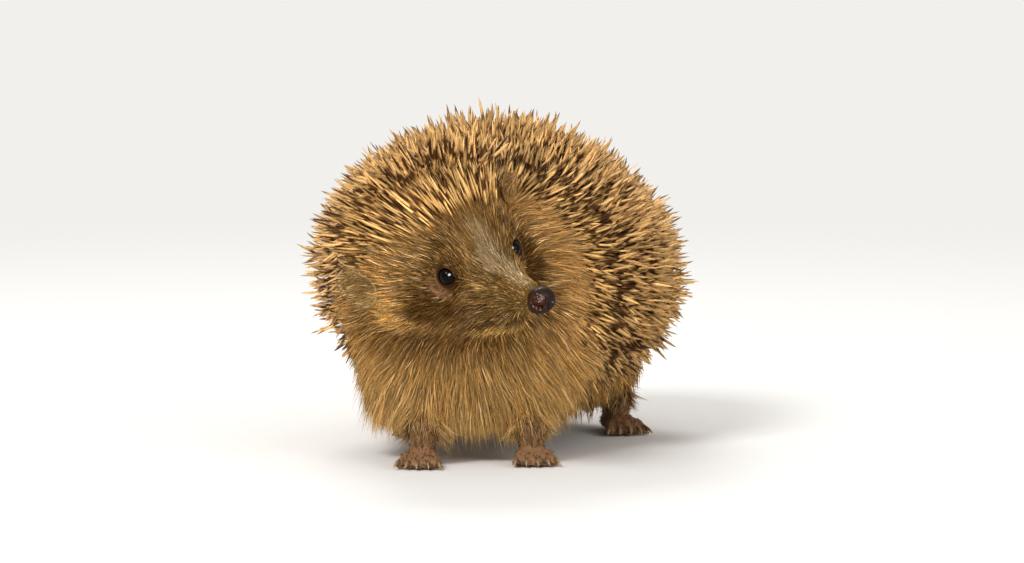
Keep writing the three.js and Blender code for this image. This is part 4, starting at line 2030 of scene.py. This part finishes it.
@dataclass
class Paws:
    """Four paws of five short fingers with pads, and a claw on each."""

    fine: float = 0.5 * MM
    ankle: float = 6.5 * MM  # over the floor, where a paw's solid is all ankle
    fore_sole: float = 15.0
    hind_sole: float = 22.0
    palm: str = "#b88a66"
    back: str = "#906a4a"
    claw_length: float = 4.0
    claw_radius: float = 0.78
    claw_sides: int = 12
    claw_rings: int = 12

    def placed(self, node: str) -> PawFrame:
        """Finds a paw's place and heading from its solid.

        Args:
            node: the solid's name.

        Returns:
            The paw's own frame.
        """
        points = points_of(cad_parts[node].data)
        ankle = points[points[:, 2] > self.ankle].mean(axis=0) * [1, 1, 0]
        apart = (points - ankle) * [1, 1, 0]
        tip = points[np.argmax(np.linalg.norm(apart, axis=1))] * [1, 1, 0]
        return PawFrame(ankle, unit(tip - ankle), float(np.linalg.norm(tip - ankle)) / MM)

    def shell(self, node: str) -> Shell:
        """Makes one paw without its claws.

        Args:
            node: the name of its solid.

        Returns:
            The paw.
        """
        paw = self.placed(node)
        heel = paw.reach - (self.fore_sole if "fore" in node else self.hind_sole)
        front = paw.reach - 9.2
        rods = []
        for root, knuckle, tip in paw.fingers():
            rods += [(root, 1.7, knuckle, 1.55), (knuckle, 1.5, tip, 1.3), (tip, 1.5, tip, 1.4)]
        rods += [((front, y, 2.7), 2.5, (heel, 0.6 * y, 2.9), 2.7) for y in (-2.2, 0, 2.2)]
        rods.append(((heel, 0, 3.2), 3.0, (0, 0, 10.5), 4.0))
        rods.append(((0.5 * front, 0, 3.6), 3.2, (0, 0, 9.5), 4.2))
        mesh = moulded([(paw.at(a), m * MM, paw.at(b), n * MM) for a, m, b, n in rods], self.fine)
        points = Web(mesh).smoothed(points_of(mesh), 3)
        points[:, 2] = np.maximum(points[:, 2], 0)
        move_points(mesh, points)
        high = ease((points[:, 2] / MM - 0.6) / 2.5)[:, None]
        tint = colour(self.palm) * (1 - high) + colour(self.back) * high
        return Shell(mesh, Region.PAW, tint, np.ones(len(points)))

    def claws(self, node: str, material: Material) -> None:
        """Makes the five claws of one paw: curved cones from the finger tips to the floor.

        Args:
            node: the name of the paw's solid.
            material: what they are finished with.
        """
        paw, sides, rings = self.placed(node), self.claw_sides, self.claw_rings
        points, faces, along = [], [], []
        for _, knuckle, tip in paw.fingers():
            start = len(points)
            out = unit((tip - knuckle) * [1, 1, 0])
            for ring in range(rings + 1):
                share = ring / rings
                drop = [0, 0, 0.55 + 0.5 * share - 1.75 * share**2]
                centre = tip + out * (0.4 + self.claw_length * share) + drop
                slope = unit(out * self.claw_length + np.array([0, 0, 0.5 - 3.5 * share]))
                lift = np.cross(np.cross(slope, [0, 0, 1.0]), slope)
                wide = np.cross(slope, unit(lift))
                radius = self.claw_radius * (1 - share) ** 0.7 + 0.05
                for k in range(sides):
                    t = k * math.tau / sides
                    p = centre + radius * (0.75 * math.cos(t) * wide + math.sin(t) * unit(lift))
                    p[2] = max(p[2], 0.02)
                    points.append(paw.at(p))
                    along.append(share)
            for low in range(start, start + rings * sides, sides):
                for k in range(sides):
                    m = (k + 1) % sides
                    faces.append((low + k, low + m, low + sides + m, low + sides + k))
            faces.append(tuple(range(start + sides - 1, start - 1, -1)))
            end = start + rings * sides
            faces.append(tuple(range(end, end + sides)))
        made = piece("claws_" + node, np.array(points), faces)
        right_way_out(made.data)
        store(made.data, "along", np.array(along))
        dress(made, material, "claw")


# ------------------------ nose and whiskers


@dataclass(frozen=True)
class Dent:
    """A round hollow on both sides of the nose, or a swell where its depth is under nothing."""

    towards: Spot
    depth: float
    wide: float  # in radians
    power: int = 2  # how steep its sides are


@dataclass
class Nose:
    """The bare nose: a ball with two comma-shaped nostrils and a groove between them."""

    head: HeadFrame
    radii: Spot = (4.2, 4.25, 4.25)
    shift: Spot = (-0.2, 0.4, -0.35)  # from the middle of its solid
    disc: Spot = (0.72, -0.60, 0.30)  # which way its worn front looks
    rows: int = 110
    columns: int = 150
    pebbles: int = 300  # over the whole ball
    pebble: float = 0.12  # how wide each is from its middle, in radians
    pebble_height: float = 0.17
    dents: tuple[Dent, ...] = (
        Dent((0.80, 0.56, -0.12), 1.5, 0.20, 4),
        Dent((0.55, 0.80, 0.02), 1.0, 0.17),
        Dent((0.30, 0.93, 0.16), 0.8, 0.12),
        Dent((0.62, 0.66, 0.34), -0.35, 0.24),
        Dent((0.30, 0.85, -0.35), -0.45, 0.45),
    )

    def build(self, material: Material) -> Object:
        """Makes the nose over its solid.

        Args:
            material: what it is finished with.

        Returns:
            The piece.
        """
        s, t, faces = globe(self.rows, self.columns)
        way = np.stack([np.cos(s), np.sin(s) * np.cos(t), np.sin(s) * np.sin(t)], axis=1)
        points = self.carve(way * np.array(self.radii), way)
        centre = self.head.local(middle("nose")[None])[0] + self.shift
        places = self.head.origin + MM * ((centre + points) @ self.head.axes)
        made = piece("nose_pad", places, faces)
        right_way_out(made.data)
        store(made.data, "front", self.front(way))
        dress(made, material, "nose_leather", "nose")
        return made

    def front(self, way: Array) -> Array:
        """How much of the worn, pebbled front there is, in some directions from the middle."""
        facing = way @ unit(np.array(self.disc))
        return ease((facing - 0.72 + 0.1 * waver(way, 0.35)) / 0.14)

    def domes(self, way: Array) -> Array:
        """Spreads pebbles evenly over the ball.

        Args:
            way: directions from the ball's middle.

        Returns:
            How high the pebbles are there, from 0 to 1.
        """
        dice = np.random.default_rng(SEED + 3)
        turn = np.arange(self.pebbles) * math.pi * (3 - math.sqrt(5))
        high = 1 - 2 * (np.arange(self.pebbles) + 0.5) / self.pebbles
        flat = np.sqrt(1 - high**2)
        tops = np.stack([flat * np.cos(turn), flat * np.sin(turn), high], axis=1)
        tops = unit(tops + 0.03 * spread(dice, self.pebbles, 3))
        apart = np.arccos(np.clip((way @ tops.T).max(axis=1), -1, 1)) / self.pebble
        return np.sqrt(np.clip(1 - apart**2, 0, 1))

    def carve(self, points: Array, way: Array) -> Array:
        """Presses the nostrils and the groove into the ball, and pebbles it.

        Args:
            points: the ball's points, from its middle.
            way: the directions that they lie in.

        Returns:
            The carved points.
        """
        x, y, z = way.T

        def bump(towards: Spot, wide: float, power: int = 2) -> Array:
            """A round swell about a direction."""
            apart = np.arccos(np.clip(way @ unit(np.array(towards)), -1, 1))
            return np.exp(-((apart / wide) ** power))

        sink = 0.40 * np.exp(-((y / 0.09) ** 2)) * ease((x + 0.1) / 0.5) * ease((0.6 - z) / 0.6)
        for side in Side:
            for dent in self.dents:
                forward, out, up = dent.towards
                sink += dent.depth * bump((forward, side * out, up), dent.wide, dent.power)
        sink += 0.30 * ease((x - 0.80) / 0.2) + 0.35 * bump((-0.1, 0, 1), 0.6)
        sink += 0.05 * np.abs(waver(points, 0.6))
        sink -= self.pebble_height * self.domes(way) * (0.15 + 0.85 * self.front(way))
        points = points - way * sink[:, None]
        neat = 1 - 0.17 * ease((0.2 - x) / 0.9)
        return points * np.stack([np.ones_like(x), neat, neat], axis=1)


@dataclass
class Whiskers:
    """A few fine dark whiskers on each side of the muzzle."""

    skin: Skin
    count: int = 13
    in_row: int = 5
    thick: float = 0.16 * MM
    shade: str = "#2b1d10"

    def build(self, material: Material) -> None:
        """Makes all the whiskers as one piece.

        Args:
            material: what they are finished with.
        """
        dice = np.random.default_rng(SEED + 2)
        head, skin = self.skin.head, self.skin
        shares = np.array(Tufts.shares[4])[:, None]
        sag = head.along(-0.4, 0, -0.6) * 0.18
        paths, across = [], []
        for side in Side:
            for k in range(self.count):
                row, place = divmod(k, self.in_row)
                f = 21 - 2.6 * place - dice.random()
                guess = head.at(f, side * (4 + 0.9 * place), -3.5 - 1.9 * row - dice.random())
                index = skin.tree.find(guess)[1]
                way = head.along(-0.5, side * 0.5, -0.12 - 0.15 * row)
                way = unit(0.75 * skin.normals[index] + way)
                long = MM * (9 + 2.2 * place + 2 * dice.random())
                paths.append(skin.places[index] + long * (shares * way + shares**2 * sag))
                across.append(np.repeat(np.cross(way, head.along(0, 0, 1))[None], 4, axis=0))
        total = len(paths)
        tint = np.tile(colour(self.shade), (total, 1))
        width = np.full(total, self.thick)
        tufts = Tufts(np.array(paths), np.array(across), width, tint, np.ones(total))
        made = tufts.build("whiskers", wrap_of_head(head).spots(tufts.paths[:, 0]))
        dress(made, material, "face_fur")


# ------------------------ the studio


@dataclass(frozen=True)
class FloorFinish(Finish):
    """A pale floor that turns into the plain background away from the animal."""

    name: ClassVar[str] = "floor"
    shade: str = "#f2f0ec"
    near: float = 0.16  # metres from the middle, from where it turns into the background
    far: float = 0.75

    def painted(self, _: Nodes) -> dict[str, object]:
        """What the shader's sockets get, by name."""
        shade = (*colour(self.shade), 1)
        return {"Base Color": shade, "Roughness": 0.9, "Specular IOR Level": 0.1}

    def material(self) -> Material:
        """Makes the material.  Only rays from the eye, and mirrored ones, see the background.

        Returns:
            The material.
        """
        material = super().material()
        nodes = Nodes(material.node_tree)
        kept = {node.type: node for node in material.node_tree.nodes}
        away = nodes.add("ShaderNodeVectorMath", {0: nodes.space()}, operation="LENGTH")
        span = {"Value": away.outputs["Value"], "From Min": self.near, "From Max": self.far}
        far = nodes.first("ShaderNodeMapRange", span, interpolation_type="SMOOTHSTEP")
        path = nodes.add("ShaderNodeLightPath").outputs
        seen = nodes.sum("MAXIMUM", path["Is Camera Ray"], path["Is Glossy Ray"])
        seen = nodes.sum("MAXIMUM", seen, path["Is Transmission Ray"])
        shade = {"Color": (*colour(self.shade), 1), "Strength": 1.0}
        glow = nodes.first("ShaderNodeEmission", shade)
        floor = kept["BSDF_PRINCIPLED"].outputs[0]
        blend = {0: nodes.sum("MULTIPLY", far, seen), 1: floor, 2: glow}
        mixed = nodes.first("ShaderNodeMixShader", blend)
        nodes.feed(kept["OUTPUT_MATERIAL"], {"Surface": mixed})
        return material


@dataclass(frozen=True)
class Lamp:
    """A soft lamp that looks at the animal."""

    name: str
    place: Spot  # x, y and z from the animal, in metres
    size: float
    share: float  # how bright it is
    shape: str = "SQUARE"

    def hang(self, aim: Spot) -> Object:
        """Hangs the lamp.

        Args:
            aim: where it looks.

        Returns:
            The lamp's object.
        """
        place = Vector(self.place)
        lamp = bpy.data.lights.new(self.name, "AREA")
        lamp.shape, lamp.size = self.shape, self.size
        lamp.energy = self.share * math.pi**2 * place.length_squared
        held = linked(self.name, lamp)
        held.location = Vector(aim) + place
        held.rotation_euler = (Vector(aim) - held.location).to_track_quat("-Z", "Y").to_euler()
        return held


@dataclass
class Studio:
    """A pale floor, soft light and the camera."""

    aim: Spot = (4.3 * MM, -21.8 * MM, 52.8 * MM)  # x, y and z, in metres
    distance: float = 2.2
    elevation: float = 6.0  # degrees
    width: float = 0.3072  # what the frame takes in at the aim
    sensor: float = 36.0
    floor_size: float = 12.0  # from the middle
    world: float = 0.55
    lamps: tuple[Lamp, ...] = (
        Lamp("key", (-1.1, -1.7, 1.9), 0.9, 0.62),
        Lamp("fill", (1.9, -1.6, 0.8), 1.2, 0.22),
        Lamp("rim", (-0.4, 1.9, 1.7), 0.9, 0.40),
    )
    catch: Lamp = Lamp("catch_light", (0.42, -1.9, 0.75), 1.1, 7.5, "DISK")

    def build(self) -> None:
        """Sets the stage."""
        bpy.context.scene.view_settings.view_transform = "Standard"
        self.camera()
        self.floor()
        for lamp in self.lamps:
            lamp.hang(self.aim)
        self.surroundings()

    def camera(self) -> None:
        """A long lens, a little above the animal's chest."""
        lens = bpy.data.cameras.new("camera")
        lens.sensor_width = self.sensor
        lens.lens = self.sensor * self.distance / self.width
        lens.dof.use_dof = False
        lens.clip_start, lens.clip_end = 0.05, 50
        held = linked("camera", lens)
        tilt = math.radians(self.elevation)
        back = Vector((0, -math.cos(tilt), math.sin(tilt))) * self.distance
        held.location = Vector(self.aim) + back
        held.rotation_euler = (-back).to_track_quat("-Z", "Y").to_euler()
        bpy.context.scene.camera = held

    def floor(self) -> None:
        """A plain floor that fades into the background and keeps the shadow."""
        corners = np.array([(-1, -1, 0), (1, -1, 0), (1, 1, 0), (-1, 1, 0)]) * self.floor_size
        made = piece("floor", corners, [(0, 1, 2, 3)])
        made.data.materials.append(FloorFinish().material())

    def catch_light(self, wet: list[Object]) -> None:
        """Hangs a lamp that only the wet eyes and nose mirror.

        Args:
            wet: the pieces that mirror it.
        """
        held = self.catch.hang(self.aim)
        held.visible_diffuse = False
        mirrors = bpy.data.collections.new("wet")
        for made in wet:
            mirrors.objects.link(made)
        held.light_linking.receiver_collection = mirrors

    def surroundings(self) -> None:
        """A soft even light from all round."""
        world = bpy.data.worlds.new("surroundings")
        bpy.context.scene.world = world
        world.use_nodes = True
        white = {"Color": (1, 1, 1, 1), "Strength": self.world}
        Nodes(world.node_tree).feed(world.node_tree.nodes["Background"], white)


# ------------------------ all of it


def main() -> None:
    """Builds the animal and its studio."""
    logging.basicConfig(level=logging.INFO, format="%(name)s %(relativeCreated)d ms: %(message)s")
    head = HeadFrame()
    skin = Skin(head)
    made = skin.build()
    eyes, ears, paws = Eyes(skin), Ears(head), Paws()
    eyes.sockets()
    surface = face_tree(made.data)
    shells = [eyes.lids(side, surface) for side in Side]
    shells += [ears.shell(side) for side in Side]
    shells += [paws.shell(node) for node in Region.PAW.value]
    skin.join(shells)
    log.info("skin laid: %d faces", len(made.data.polygons))
    lie, markings = Lie(skin), Markings(skin)
    lie.build()
    tint, bare = markings.build()
    store(made.data, "coat", tint)
    store(made.data, "bare", bare)
    apart = ("nose", "eye_right", "eye_left")
    flesh = [n for region in Region for n in region.value if n not in apart]
    dress(made, SkinFinish().material(), "body_fur", *flesh)
    eye_finish, claw_finish = EyeFinish().material(), ClawFinish().material()
    wet = [eyes.ball(side, eye_finish) for side in Side]
    for node in Region.PAW.value:
        paws.claws(node, claw_finish)
    wet.append(Nose(head).build(NoseFinish().material()))
    fur_finish = FurFinish().material()
    SpineCoat(skin, lie).build(SpineFinish().material())
    FurCoat(skin, lie, markings).build(fur_finish)
    Whiskers(skin).build(fur_finish)
    studio = Studio()
    studio.build()
    studio.catch_light(wet)


if __name__ == "__main__":
    main()
